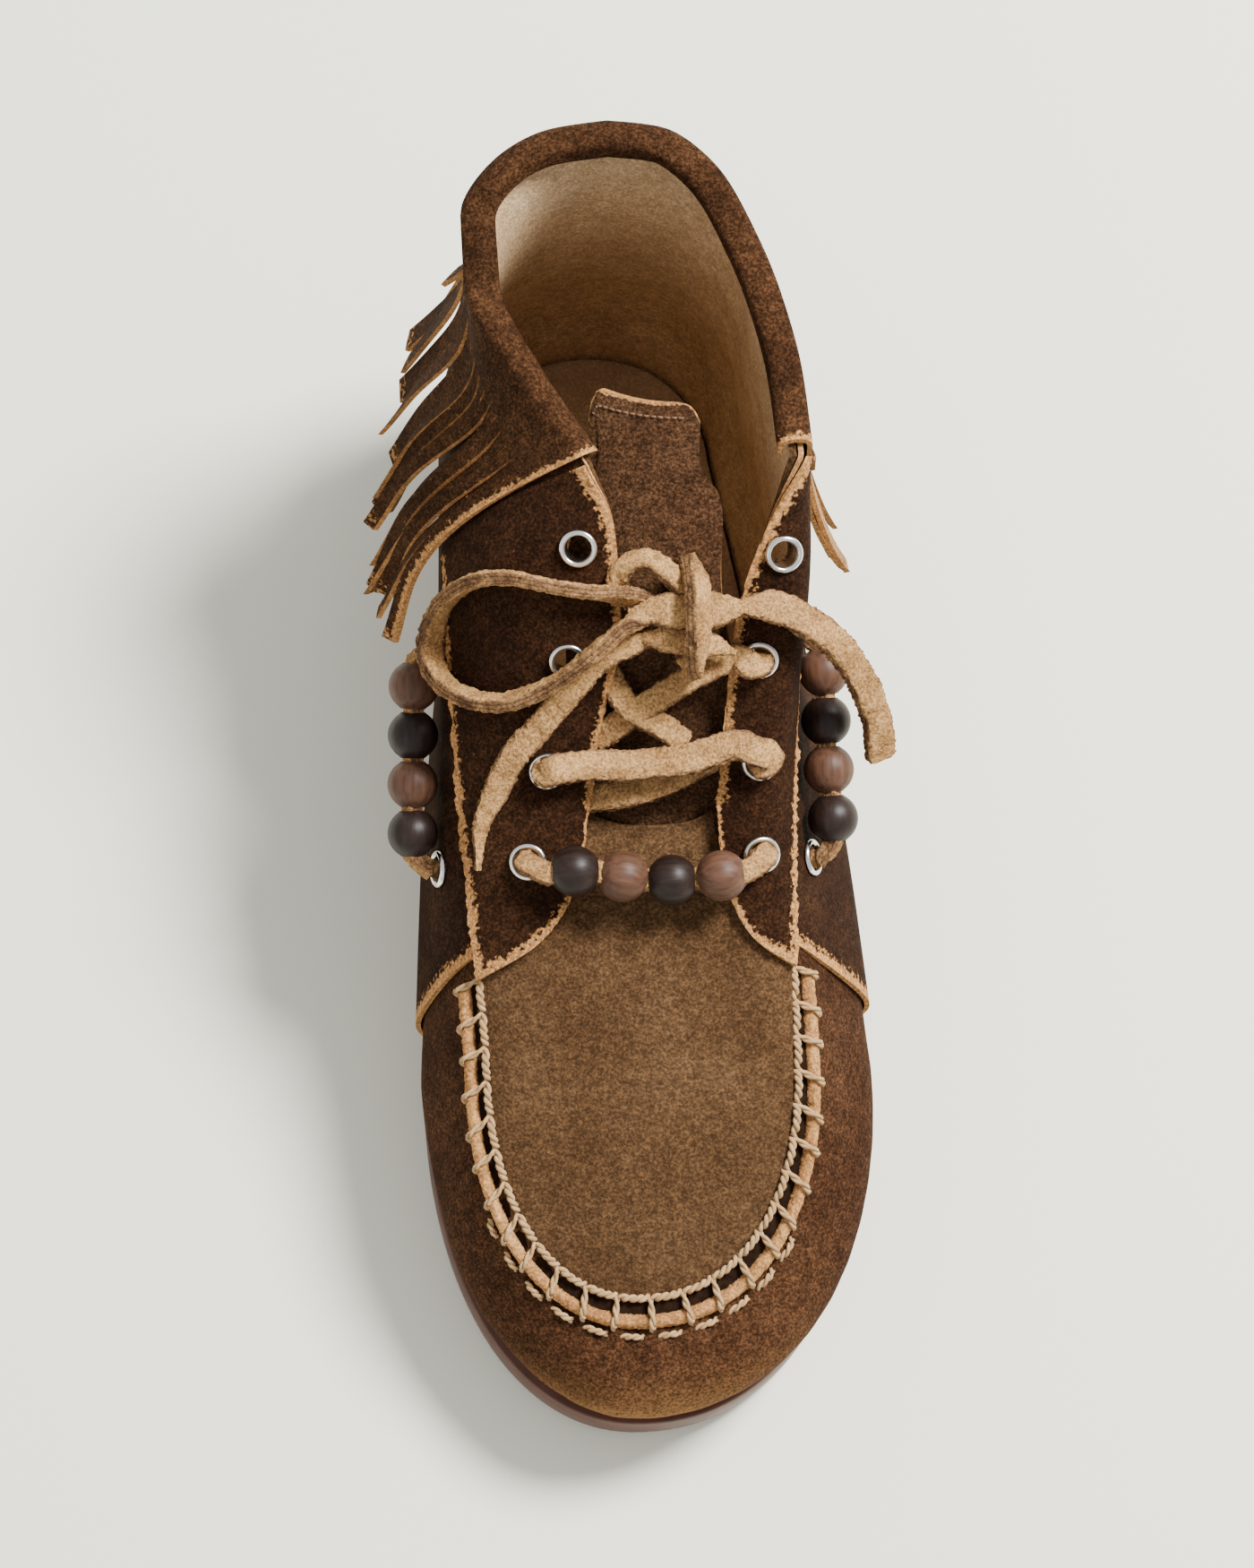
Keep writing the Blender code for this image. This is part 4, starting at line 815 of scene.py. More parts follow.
# %% Eyelets
HOLE, BARREL, FLANGE = 0.00275, 0.00300, 0.00405
RIM_HIGH = 0.0008
roll = np.linspace(0, math.pi, 9)
middle_r, half_r = (HOLE + FLANGE) / 2, (FLANGE - HOLE) / 2
profile = [(middle_r - half_r * math.cos(a), RIM_HIGH * math.sin(a)) for a in roll]
profile += [(BARREL, -0.0001), (BARREL, -0.0050), (HOLE, -0.0050), (HOLE, -0.0030)]
count = 0
for group, word, top in ((THROAT_EYELETS, "throat", EYESTAY_HIGH), (SIDE_EYELETS, "side", QUARTER_HIGH)):
    for place in group:
        name = "%s_%s" % (word, place.name)
        ring = lathe("ring_" + name, profile, 40, [NICKEL])
        settle(ring, *seat(place, top + LAYER_GAP))
        place_piece(ring, "nickel", "eyelet_" + name)
        count += 1
print("Eyelets:", count)

# %% [markdown]
# ## The upper
# The wall is one hide shell. Below the apron seam it is gathered, because a flat hide has to go round
# the toe: each stitch leaves a small pucker that fades down the wall. The apron inside the seam is a
# smoother, burnished hide.

# %% The upper
SEAM_UP = 0.46
SEAM_START = 0.644
PUCKER_PITCH = 0.0075
PUCKER_DEPTH = 0.0007
PUCKER_REACH = 0.0110
ROUND_CELLS, UP_CELLS = 300, 104


def seam_run(count=1200):
    """Even steps along the apron seam, with the way round at each and the length run."""
    ways = np.linspace(SEAM_START, 2 - SEAM_START, count)
    line = bare_skin(ways, np.full(count, SEAM_UP))
    run = np.concatenate([[0], np.cumsum(np.linalg.norm(np.diff(line, axis=0), axis=1))])
    return ways, run


seam_ways, seam_length = seam_run()
around = np.linspace(0, 2, ROUND_CELLS, endpoint=False)
ups = np.linspace(0, 1, UP_CELLS + 1)
a, u = np.meshgrid(around, ups, indexing="ij")
outer = skin(a, u, np.zeros_like(a))
below = np.linalg.norm(np.diff(outer, axis=1), axis=-1)
depth_down = np.concatenate([np.zeros((len(around), 1)), np.cumsum(below, axis=1)], axis=1)
at_seam = depth_down[:, int(round(SEAM_UP * UP_CELLS))][:, None]
drop = at_seam - depth_down
run_here = np.interp(a, seam_ways, seam_length)
inside_seam = (a > SEAM_START) & (a < 2 - SEAM_START)
fade = np.clip(np.minimum(a - SEAM_START, 2 - SEAM_START - a) / 0.12, 0, 1)
wave = np.cos(2 * math.pi * run_here / PUCKER_PITCH)
wall_side = np.exp(-np.clip(drop, 0, 1) / PUCKER_REACH) * (drop >= 0)
plug_side = np.exp(-np.clip(-drop, 0, 1) / 0.0035) * (drop < 0)
puckers = PUCKER_DEPTH * fade * wave * (wall_side + 0.5 * plug_side)
dip = -0.0008 * np.exp(-((drop / 0.0024) ** 2)) * inside_seam
rng = np.random.default_rng(4)
bumps = np.zeros_like(a)
for k in range(14):
    wave_x, wave_y, wave_z = rng.normal(0, 60, 3)
    phase = rng.uniform(0, 6.28)
    bumps += np.sin(outer[..., 0] * wave_x + outer[..., 1] * wave_y + outer[..., 2] * wave_z + phase)
lift = puckers + dip + 0.00016 * bumps * (u > 0.04) * (u < 0.98)
front = skin(a, u, lift)
back = skin(a, u, np.full_like(a, -WALL))
plug = (inside_seam[:, :-1] & (u[:, :-1] + 0.5 / UP_CELLS > SEAM_UP)).astype(int) * 3
cells = ~holes((front[:, :-1] + np.roll(front, -1, axis=0)[:, 1:]) / 2, THROAT_EYELETS + SIDE_EYELETS, 0.0034)
toe_tip = np.exp(-(((a - 1.0) / 0.09) ** 2)) * np.exp(-(((u - 0.12) / 0.11) ** 2))
foot_rub = 0.30 * np.exp(-((u / 0.06) ** 2))
upper = thick_sheet(
    "upper_shell", front, back, [WALL_SUEDE, LINING, PLUG_SUEDE, PLUG_SUEDE], cells, closed=True,
    front_mat=plug, wear=np.clip(0.75 * toe_tip + foot_rub, 0, 1),
)
place_piece(upper, "vamp_suede", "upper")
print("The apron seam runs %.0f mm" % (1000 * seam_length[-1]))

# %% [markdown]
# ## Side panels and facings
# Each side panel wraps from the back seam to the vamp, and a facing that carries the eyelets lies on it.
# Both are cut from split suede, so their edges are pale and a little rough, and stand clear of what is
# under them.


# %% Side panels and facings
def ragged(grid_shape, seed, amount=0.00032):
    rng = np.random.default_rng(seed)
    return rng.normal(0, amount, grid_shape)


def flex_creases(a, u):
    """Soft troughs where the panel bends at the ankle and over the instep."""
    out = np.zeros_like(a)
    for way, height, slope, deep, wide in (
        (0.42, 0.62, 0.9, 0.0008, 0.030), (0.34, 0.50, 0.6, 0.0007, 0.026),
        (0.26, 0.66, -0.4, 0.0006, 0.030), (0.50, 0.48, 1.0, 0.0006, 0.022),
    ):
        off = (u - height) - slope * (a - way)
        near = np.exp(-(((a - way) / 0.10) ** 2))
        out -= deep * near * np.exp(-((off / wide) ** 2))
        out += 0.6 * deep * near * np.exp(-(((off - 2.2 * wide) / wide) ** 2))
    return out


for side, word in ((-1, "medial"), (1, "lateral")):
    mine = [p for p in THROAT_EYELETS + SIDE_EYELETS if p.side == side]
    ways = np.linspace(0.006, QUARTER_FRONT, 176)
    ups = np.linspace(0, 1, 97)
    a, u = np.meshgrid(ways, ups, indexing="ij")
    bend = flex_creases(a, u)
    front = skin(side_around(side, a), u, QUARTER_HIGH + bend)
    back = skin(side_around(side, a), u, QUARTER_LOW + np.minimum(bend, 0))
    for grid in (front, back):
        grid[..., 2] = np.maximum(grid[..., 2], sole_top(grid[..., 1]) + GAP)
    middle = (front[:-1, :-1] + front[1:, 1:]) / 2
    cells = ~holes(middle, mine, 0.0034)
    cells &= ~((a[:-1, :-1] > VAMP_ROUND) & (u[:-1, :-1] >= 0.799))
    rim = near_border(front, ("last",), 0.0046)
    wear = 0.35 * np.exp(-((u / 0.07) ** 2)) + 0.25 * near_border(front, ("first",), 0.006)
    panel = thick_sheet(
        "panel_" + word, front, back, [PANEL_SUEDE, FLESH_SUEDE, CUT_EDGE], cells, edge=rim, wear=wear
    )
    place_piece(panel, "dark_suede", "quarter_" + word)

    ways = np.linspace(CORNER_ROUND, EYESTAY_FRONT, 120)
    ups = np.linspace(EYESTAY_FOOT, 1, 66)
    a, u = np.meshgrid(ways, ups, indexing="ij")
    front_edge = curve((0.80, 0.90, 1.0), (EYESTAY_FRONT, 0.632, 0.572), u)
    reach = (front_edge - VAMP_ROUND) / (EYESTAY_FRONT - VAMP_ROUND)
    a = np.where(a > VAMP_ROUND, VAMP_ROUND + (a - VAMP_ROUND) * reach, a)
    front = skin(side_around(side, a), u, np.full_like(a, EYESTAY_HIGH))
    back = skin(side_around(side, a), u, np.full_like(a, EYESTAY_LOW))
    rim = near_border(front, ("low", "high", "last"), 0.0040)
    shift = (ragged(a.shape, 20 + side) * (rim > 0.9))[..., None] * skin_normal(side_around(side, a), u)
    middle = (front[:-1, :-1] + front[1:, 1:]) / 2
    throat = [p for p in THROAT_EYELETS if p.side == side]
    facing = thick_sheet(
        "facing_" + word, front + shift, back, [PANEL_SUEDE, FLESH_SUEDE, CUT_EDGE],
        ~holes(middle, throat, 0.0034), edge=rim,
    )
    place_piece(facing, "dark_suede", "eyestay_" + word)
    print("facing_%s spans %.0f mm" % (word, 1000 * facing.dimensions.y))

# %% [markdown]
# ## The tongue
# The tongue is sewn in under the foot of the throat and stands up behind the lace. It bridges the throat
# with a slight crown, and its free top is rounded and bound with one line of stitches.

# %% The tongue
TONGUE_THICKNESS = 0.0020
TONGUE_CLEAR = 0.0015
TONGUE_CROWN = 0.0030
TONGUE_UNDERLAP = 0.17
TONGUE_RISE = 0.0100
TongueRow = namedtuple("TongueRow", "around left right sink")
TONGUE_ROWS = (
    TongueRow(0.5500, -1.0, 2.0, 0.00), TongueRow(0.4900, -1.0, 1.60, 0.00),
    TongueRow(0.4350, -1.0, 0.88, 0.05), TongueRow(0.3900, -1.0, 0.74, 0.15),
    TongueRow(0.3400, -0.7, 0.66, 0.30), TongueRow(0.3000, -0.3, 0.62, 0.45),
)


def bridge(around, share, lift):
    """A point of the sheet that spans the throat from edge to edge, lifted off it."""
    left, right = skin(2 - around, 1.0, lift), skin(around, 1.0, lift)
    ahead = skin(around - 0.01, 1.0, lift) - skin(around + 0.01, 1.0, lift)
    up = unit(np.cross(right - left, ahead))
    return left + (right - left) * share + up * 4 * TONGUE_CROWN * share * (1 - share)


def tongue_point(around, share, lift):
    if share < 0:
        return skin(2 - around, 1 + share * TONGUE_UNDERLAP, lift)
    if share > 1:
        return skin(around, 1 - (share - 1) * TONGUE_UNDERLAP, lift)
    return bridge(around, share, lift)


def tongue_grid(depth):
    lift = -WALL - TONGUE_CLEAR - depth
    shares = np.array(sorted(set(np.linspace(-1, 2, 7)) | set(np.linspace(0, 1, 7))))
    first = TONGUE_ROWS[0]
    foot, tip = [], []
    for share in shares:
        if 0 <= share <= 1:
            way = 2 - first.around - share * (2 - 2 * first.around)
            foot.append(skin(way, 1.0, lift))
            tip.append(skin(way + 0.02 * (share * 2 - 1), 0.96, lift))
        else:
            side = -1 if share < 0 else 1
            up = 1 - TONGUE_UNDERLAP * (-share if share < 0 else share - 1)
            foot.append(skin(side_around(side, first.around), up, lift))
            tip.append(skin(side_around(side, first.around + 0.025), up - 0.01, lift))
    rows = [tip, foot]
    for row in TONGUE_ROWS[1:]:
        scaled = row.left + (shares + 1) / 3 * (row.right - row.left)
        rows.append([tongue_point(row.around, s, lift - row.sink * TONGUE_RISE) for s in scaled])
    for rise in (0.6, 1.2):
        shift = np.array([0, 1.0, 0.55]) * rise * TONGUE_RISE
        rows.append([p + shift for p in rows[-1 if rise < 1 else -2]])
    return np.array(rows), shares


def refine(grid, shares, rows, cols):
    """Read a coarse grid of points through smooth splines, with its free top rounded."""
    run = np.linalg.norm(np.diff(grid, axis=0), axis=-1).mean(1)
    knots = np.concatenate([[0], np.cumsum(run)])
    share = np.linspace(shares[0], shares[-1], cols)
    wide = np.einsum("ck,rkx->rcx", spline_weights(shares, share), grid)
    across = np.abs(np.linspace(-1, 1, cols))
    top = 1 - 0.045 * across**12
    v = np.linspace(0, 1, rows)[:, None] * knots[-1] * (1 - (1 - top) * np.linspace(0, 1, rows)[:, None] ** 3)
    weights = spline_weights(knots, v)
    return np.einsum("rck,kcx->rcx", weights, wide)


coarse_front, shares = tongue_grid(0.0)
coarse_back, _ = tongue_grid(TONGUE_THICKNESS)
front = refine(coarse_front, shares, 90, 64)
back = refine(coarse_back, shares, 90, 64)
tongue = thick_sheet(
    "tongue_sheet", front, back, [TONGUE_SUEDE, LINING, CUT_EDGE], edge=near_border(front, ("last",), 0.0012)
)
place_piece(tongue, "vamp_suede", "tongue")
line_row = front.shape[0] - 4
threads = []
for first in range(6, front.shape[1] - 8, 3):
    spot = [front[line_row, first + k] for k in range(3)]
    normal = unit(np.cross(spot[2] - spot[0], front[line_row + 2, first + 1] - front[line_row - 2, first + 1]))
    highs = (-0.0002, 0.0003, -0.0002)
    threads.append(sweep(smooth_route([p + h * normal for p, h in zip(spot, highs)], 0.0005),
                         normal, 0.0006, 0.0005, 8, 1.0, 0.00002, first))
place_piece(swept_mesh("tongue_stitches", threads, DARK_THREAD), "vamp_suede")
threads = []
for first in np.arange(-0.286, 0.284, 0.0065):
    spot = skin(first + np.linspace(0, 0.0042, 4), np.full(4, 0.945), np.array((0.0, -1, -1, 0.0)) * 0.0005 - WALL)
    threads.append(sweep(smooth_route(list(spot), 0.0005), (0, 0, 1.0), 0.0007, 0.0006, 8, 1.0, 0.00002, 5))
place_piece(swept_mesh("lining_stitches", threads, THREAD), "lining")
print("The tongue is %.0f mm long" % (1000 * tongue.dimensions.y))

# %% [markdown]
# ## The apron seam
# The wall folds up into a smooth tan ridge outside the seam. Inside it runs a rail of twisted stitches,
# one for each pucker, with a near-black sheet of painted shade for the shadowed gap between the rail and
# the ridge. A short rung crosses the gap and the ridge at every stitch. Round the toe a second row of stitches holds
# the wall.

# %% The apron seam
RIDGE_HALF = 0.0016
RIDGE_HIGH = 0.0020
RIDGE_AWAY = -0.0018
SHADE_SHEET_REACH = (-0.0004, 0.0026)
RAIL_AWAY = 0.0032
RUNG_REACH = -0.0038
WALL_ROW_AWAY = -0.0052
PLY = 0.00042
TOE_ROW = 0.17


def seam_point(way, away, lift):
    """A point beside the seam: away is metres up the boot from its middle line."""
    way = np.asarray(way, float)
    level = np.full(way.shape, SEAM_UP)
    rise = np.linalg.norm(bare_skin(way, level + 0.01) - bare_skin(way, level - 0.01), axis=-1) / 0.02
    return skin(way, level + away / rise, np.broadcast_to(lift, way.shape))


def seam_way(run):
    return np.interp(run, seam_length, seam_ways)


def two_ply(line, turns, radius=PLY, seed=0):
    """Two threads twisted round each other along a line."""
    route = smooth_route(line, 0.0005)
    ahead = unit(np.gradient(route, axis=0))
    over = unit(np.cross(ahead, (0.1, 0.1, 1.0)))
    rise = np.cross(over, ahead)
    twist = np.linspace(0, 2 * math.pi * turns, len(route))[:, None]
    made = []
    for start in (0, math.pi):
        away = 0.9 * radius * (np.cos(twist + start) * over + np.sin(twist + start) * rise)
        made.append(sweep(route + away, (0.1, 0.1, 1.0), 2.1 * radius, 2.1 * radius, 8, 1.0, 0.00002, seed))
    return made


ways = seam_way(np.linspace(0, seam_length[-1], 460))
angle = np.linspace(0, math.pi, 11)
ridge_front = np.stack(
    [seam_point(ways, RIDGE_AWAY - RIDGE_HALF * math.cos(t), RIDGE_HIGH * math.sin(t)) for t in angle], 1
)
ridge_back = np.stack(
    [seam_point(ways, RIDGE_AWAY - RIDGE_HALF * 0.8 * math.cos(t), -0.0006) for t in angle], 1
)
ridge_front += np.random.default_rng(9).normal(0, 0.00008, ridge_front.shape)
ridge = thick_sheet("apron_ridge", ridge_front, ridge_back, [CUT_EDGE, CUT_EDGE, CUT_EDGE])
place_piece(ridge, "raw_edge", "apron_seam")

# Painted shade: a near-black sheet in the seam gap between the rail and the ridge, standing in for the shadow there.
steps = np.linspace(*SHADE_SHEET_REACH, 4)
shade_sheet_front = np.stack([seam_point(ways, away, -0.0002) for away in steps], 1)
shade_sheet_back = np.stack([seam_point(ways, away, -0.0008) for away in steps], 1)
place_piece(thick_sheet("apron_painted_shade", shade_sheet_front, shade_sheet_back, [SEAM_GAP_SHADE_PAINT] * 3), "raw_edge")

stitches = round(seam_length[-1] / PUCKER_PITCH)
marks = np.linspace(0.001, seam_length[-1] - 0.001, stitches + 1)
threads = []
for k, mark in enumerate(marks):
    slant = 0.0006 * math.sin(2.1 * k)
    spans = ((RAIL_AWAY, -0.0001), (0.0020, 0.0008), (0.0004, 0.0012), (-0.0008, 0.0024),
             (RIDGE_AWAY, 0.0027), (-0.0030, 0.0018), (RUNG_REACH, -0.0003))
    line = [seam_point(seam_way(mark + slant * n / 6), away, high) for n, (away, high) in enumerate(spans)]
    threads += two_ply(line, 1.5, seed=k)
for k, (first, last) in enumerate(zip(marks, marks[1:])):
    places = np.linspace(first + 0.0002, last - 0.0002, 5)
    line = [seam_point(seam_way(s), RAIL_AWAY, h) for s, h in zip(places, (-0.0003, 0.0006, 0.0008, 0.0006, -0.0003))]
    threads += two_ply(line, 2.0, 1.2 * PLY, seed=k)
    if abs(seam_way(first) - 1) < TOE_ROW:
        places = np.linspace(first + 0.0016, last - 0.0010, 4)
        line = [seam_point(seam_way(s), WALL_ROW_AWAY, h) for s, h in zip(places, (-0.0004, 0.0006, 0.0006, -0.0004))]
        threads += two_ply(line, 1.5, seed=k)
place_piece(swept_mesh("apron_thread", threads, THREAD), "raw_edge")
print("Rungs over the seam:", len(marks))

# %% [markdown]
# ## The collar and its fringe
# A band of suede is rolled over the collar's rim and slit below into strips. Hide is never even, so
# each strip has its own length, curl and swing, from waves that give the same result in every run.

# %% The collar and its fringe
STRIP_LENGTH = 0.070
FRINGE_THICKNESS = 0.0011
FRINGE_BAND = 0.8
FRINGE_TIP = 0.33
FRINGE_STRIP = 0.0046
FRINGE_SLIT = 0.0006
FRINGE_INSIDE = 0.965
FRINGE_GAP = 0.0009
FRINGE_INNER_GAP = 0.0012
FRINGE_END_GAP = 0.0014
Fall = namedtuple("Fall", "place flare swing drop")
FRINGE_FALL = (
    Fall(-1.00, 0.12, 0.10, 0.02), Fall(-0.85, 0.19, 0.06, 0.04), Fall(-0.65, 0.16, 0.02, 0.03),
    Fall(-0.35, 0.10, 0.00, 0.00), Fall(0.00, 0.08, 0.00, -0.02), Fall(0.60, 0.08, 0.00, 0.00),
    Fall(0.86, 0.13, 0.00, 0.00), Fall(1.00, 0.16, 0.00, 0.00),
)
STRIP_CELLS = 3
HANG_ROWS = 22

fine = np.linspace(-CORNER_ROUND, CORNER_ROUND, 401)
rim_line = bare_skin(fine, np.ones_like(fine))
rim_run = np.concatenate([[0], np.cumsum(np.linalg.norm(np.diff(rim_line, axis=0), axis=1))])
strip_count = round((rim_run[-1] - 2 * FRINGE_END_GAP) / FRINGE_STRIP)
pitch = (rim_run[-1] - 2 * FRINGE_END_GAP) / strip_count
inner_share = np.linspace(0, 1, STRIP_CELLS + 1)
starts = FRINGE_END_GAP + pitch * np.arange(strip_count)
spots = starts[:, None] + FRINGE_SLIT / 2 + inner_share * (pitch - FRINGE_SLIT)
places = np.interp(spots.ravel(), rim_run, fine)
strip_number = np.repeat(np.arange(strip_count), STRIP_CELLS + 1)
in_strip = np.tile(inner_share * 2 - 1, strip_count)
ones = np.ones_like(places)
inside, outside = -WALL - FRINGE_INNER_GAP, QUARTER_HIGH + FRINGE_GAP
centre_lift, reach = (inside + outside) / 2, (outside - inside) / 2
rise = unit(skin(places, ones) - skin(places, 0.97 * ones))
rows_in = [skin(places, FRINGE_INSIDE * ones, inside * ones)]
rows_out = [skin(places, FRINGE_INSIDE * ones, (inside - FRINGE_THICKNESS) * ones)]
for turn_angle in np.linspace(0, math.pi, 11):
    c, s = math.cos(turn_angle), math.sin(turn_angle)
    for rows, wide in ((rows_in, reach), (rows_out, reach + FRINGE_THICKNESS)):
        above = LAYER_GAP + (wide - 0.5 * reach) * s
        rows.append(skin(places, ones, (centre_lift - wide * c) * ones) + above * rise)
for up in np.linspace(0.975, FRINGE_BAND, 8):
    for rows, level in ((rows_in, outside), (rows_out, outside + FRINGE_THICKNESS)):
        rows.append(skin(places, up * ones, level * ones))
fall_share = [f.place for f in FRINGE_FALL]
spot = places / CORNER_ROUND
flare = curve(fall_share, [f.flare for f in FRINGE_FALL], spot) + 0.02 * np.sin(2.4 * strip_number)
swing = curve(fall_share, [f.swing for f in FRINGE_FALL], spot) + 0.035 * np.sin(5.1 * strip_number)
drop = curve(fall_share, [f.drop for f in FRINGE_FALL], spot) + 0.025 * np.sin(1.7 * strip_number + 1)
tip = FRINGE_TIP - drop * STRIP_LENGTH / (UPPER_HEIGHT * 0.95)
toeward = unit(skin(places + 0.01, 0.5 * ones) - skin(places - 0.01, 0.5 * ones)) * np.sign(spot)[:, None]
curl = 0.0012 * np.sin(3.3 * strip_number + 0.6)
narrow = 0.30 + 0.25 * np.sin(4.7 * strip_number)
for k in range(1, HANG_ROWS + 1):
    part = k / HANG_ROWS
    up = FRINGE_BAND + (tip - FRINGE_BAND) * part
    bow_out = 0.0016 * np.sin(math.pi * part) * np.sin(2.9 * strip_number + 2)
    away = STRIP_LENGTH * flare * part**1.8 + bow_out * 0.5 + curl * part * in_strip
    away = np.maximum(away, 0)
    pinch = narrow * part**4 * in_strip * pitch / 2
    way = STRIP_LENGTH * swing * part**2
    ahead = way[:, None] * toeward - (pinch * np.sign(spot))[:, None] * toeward
    rows_in.append(skin(places, up, outside + away) + ahead)
    rows_out.append(skin(places, up, outside + FRINGE_THICKNESS + away) + ahead)
front, back = np.stack(rows_out, 1), np.stack(rows_in, 1)
cells = np.ones((len(places) - 1, front.shape[1] - 1), bool)
cells[STRIP_CELLS :: STRIP_CELLS + 1, -HANG_ROWS:] = False
edge = near_border(front, ("first", "last"), 0.0022)
hanging = np.zeros(front.shape[:2])
hanging[:, -HANG_ROWS:] = (np.abs(in_strip) > 0.99)[:, None] * 0.22
tips = np.zeros(front.shape[:2])
tips[:, -2:] = 0.42
turned = (spot[:-1, None] > 0.84) & (np.arange(front.shape[1] - 1) >= front.shape[1] - HANG_ROWS - 6)
fringe = thick_sheet(
    "collar_fringe_hide", front, back, [FRINGE_SUEDE, FLESH_SUEDE, CUT_EDGE], cells,
    front_mat=turned.astype(int),
    edge=np.maximum(np.maximum(edge, hanging), tips),
)
place_piece(fringe, "dark_suede", "collar_fringe")
print("Fringe strips:", strip_count)

# %% [markdown]
# ## Laces through the eyelets
# The lace comes up through the front eyelets with beads on it, crosses the throat, and meets the knot.
# On each side a short lace holds four beads between two eyelets.

# %% Routes of the fixed laces
LACE = 0.0034
EYELET_DEPTH = 0.0052
EYELET_RIM = 0.0009
BEAD = 0.0108
Hold = namedtuple("Hold", "over around along lift")
BEAD_BAR = (
    Hold("medial", 0.592, 0.735, 2.45), Hold("medial", 0.608, 0.815, 2.62), Hold("lateral", 1.000, 0.955, 2.30),
    Hold("lateral", 0.625, 0.810, 2.62), Hold("lateral", 0.597, 0.740, 2.45),
)
SECOND_BAR = (
    Hold("medial", 0.500, 0.800, 2.00), Hold("medial", 0.510, 0.930, 1.80), Hold("across", 0.516, 0.270, 1.50),
    Hold("across", 0.514, 0.750, 1.50), Hold("lateral", 0.502, 0.930, 1.90), Hold("lateral", 0.495, 0.830, 2.20),
    Hold("lateral", 0.494, 0.770, 1.60),
)
RISING_STRAND = (
    Hold("across", 0.505, 0.020, 0.30), Hold("across", 0.490, 0.180, 0.60), Hold("across", 0.473, 0.420, 0.90),
    Hold("across", 0.460, 0.700, 1.00), Hold("lateral", 0.451, 0.980, 1.30), Hold("lateral", 0.445, 0.905, 1.90),
)
FALLING_STRAND = (
    Hold("across", 0.455, -0.080, -0.80), Hold("across", 0.464, 0.020, -0.10), Hold("across", 0.481, 0.200, 0.80),
    Hold("across", 0.493, 0.460, 0.80), Hold("across", 0.508, 0.680, 0.20),
)
LOWER_STRAND = (
    Hold("across", 0.562, -0.080, -0.80), Hold("across", 0.553, 0.100, -0.20), Hold("across", 0.543, 0.350, -0.10),
    Hold("across", 0.530, 0.650, -0.10), Hold("across", 0.520, 0.900, -0.20), Hold("across", 0.515, 1.060, -0.80),
)


def hold_point(hold):
    if hold.over == "across":
        return bridge(hold.around, hold.along, hold.lift * LACE)
    side = -1 if hold.over == "medial" else 1
    return skin(side_around(side, hold.around), hold.along, hold.lift * LACE)


def eyelet_end(place, top):
    around = side_around(place.side, place.around)
    low, high = top - EYELET_DEPTH / 2, top + EYELET_RIM + LACE / 2
    return [skin(around, place.up, level) for level in (low, (low + high) / 2, high)]


def laced(holds, start=None, end=None):
    named = {p.name: p for p in THROAT_EYELETS}
    points = [hold_point(h) for h in holds]
    if start:
        points = eyelet_end(named[start], EYESTAY_HIGH) + points
    if end:
        points = points + eyelet_end(named[end], EYESTAY_HIGH)[::-1]
    return points


def side_string(side):
    front, rear = [p for p in SIDE_EYELETS if p.side == side]
    high = QUARTER_HIGH + LAYER_GAP + BEAD / 2 + LAYER_GAP
    points = eyelet_end(front, QUARTER_HIGH)
    for share in (0.06, 0.12, 0.3, 0.5, 0.7, 0.88, 0.94):
        way = front.around + (rear.around - front.around) * share
        up = front.up + (rear.up - front.up) * share
        points.append(skin(side_around(side, way), up, high if 0.1 < share < 0.9 else 0.93 * high))
    return points + eyelet_end(rear, QUARTER_HIGH)[::-1]


# %% Fixed laces
SKY_UP = (0.0, -0.15, 1.0)
bead_bar = laced(BEAD_BAR, "medial_1", "lateral_1")
strings = {-1: side_string(-1), 1: side_string(1)}


def lace(name, points, node_name, wide, thick=0.0027, facing=SKY_UP, seed=0):
    strip = sweep(smooth_route(points, 0.0007), facing, wide, thick, seed=seed)
    return place_piece(swept_mesh(name, [strip], THONG), "thong", *node_name)


lace("thong_bead_bar", bead_bar, ["lace_bead_bar"], 0.0050, 0.0036, seed=21)
for side, word in ((-1, "medial"), (1, "lateral")):
    lace("thong_side_" + word, strings[side], ["lace_side_" + word], 0.0048, 0.0036, (side, 0.0, 0.4), 22 + side)
crossing_strips = []
for seed, (points, wide) in enumerate(
    (
        (laced(SECOND_BAR, "medial_2", "lateral_2"), 0.0066),
        (laced(RISING_STRAND, None, "lateral_3"), 0.0058),
        (laced(FALLING_STRAND), 0.0054),
    )
):
    crossing_strips.append(sweep(smooth_route(points, 0.0007), SKY_UP, wide, 0.0029, seed=30 + seed))
place_piece(swept_mesh("thong_crossings", crossing_strips, THONG), "thong", "lace_crossings")
lace("thong_lower_strand", laced(LOWER_STRAND), ["lace_lower_strand"], 0.0062, 0.0026, seed=40)
print("Side strings are %.0f mm long" % (1000 * run_length(smooth_route(strings[1], 0.001))))

# %% [markdown]
# ## Beads
# Turned wood, a little flattened at the ends where the bore opens. Dark and brown beads take turns.

# %% Beads
BEAD_LENGTH = 0.0097
BEAD_GAP = 0.0008
BORE = 0.0026
tilt = math.acos(BEAD_LENGTH / BEAD)
bead_profile = [
    (max(BEAD / 2 * math.sin(t), BORE), BEAD / 2 * math.cos(t)) for t in np.linspace(tilt, math.pi - tilt, 19)
]
bead_profile = [(BORE, BEAD_LENGTH / 2)] + bead_profile + [(BORE, -BEAD_LENGTH / 2), (BORE, 0.0)]


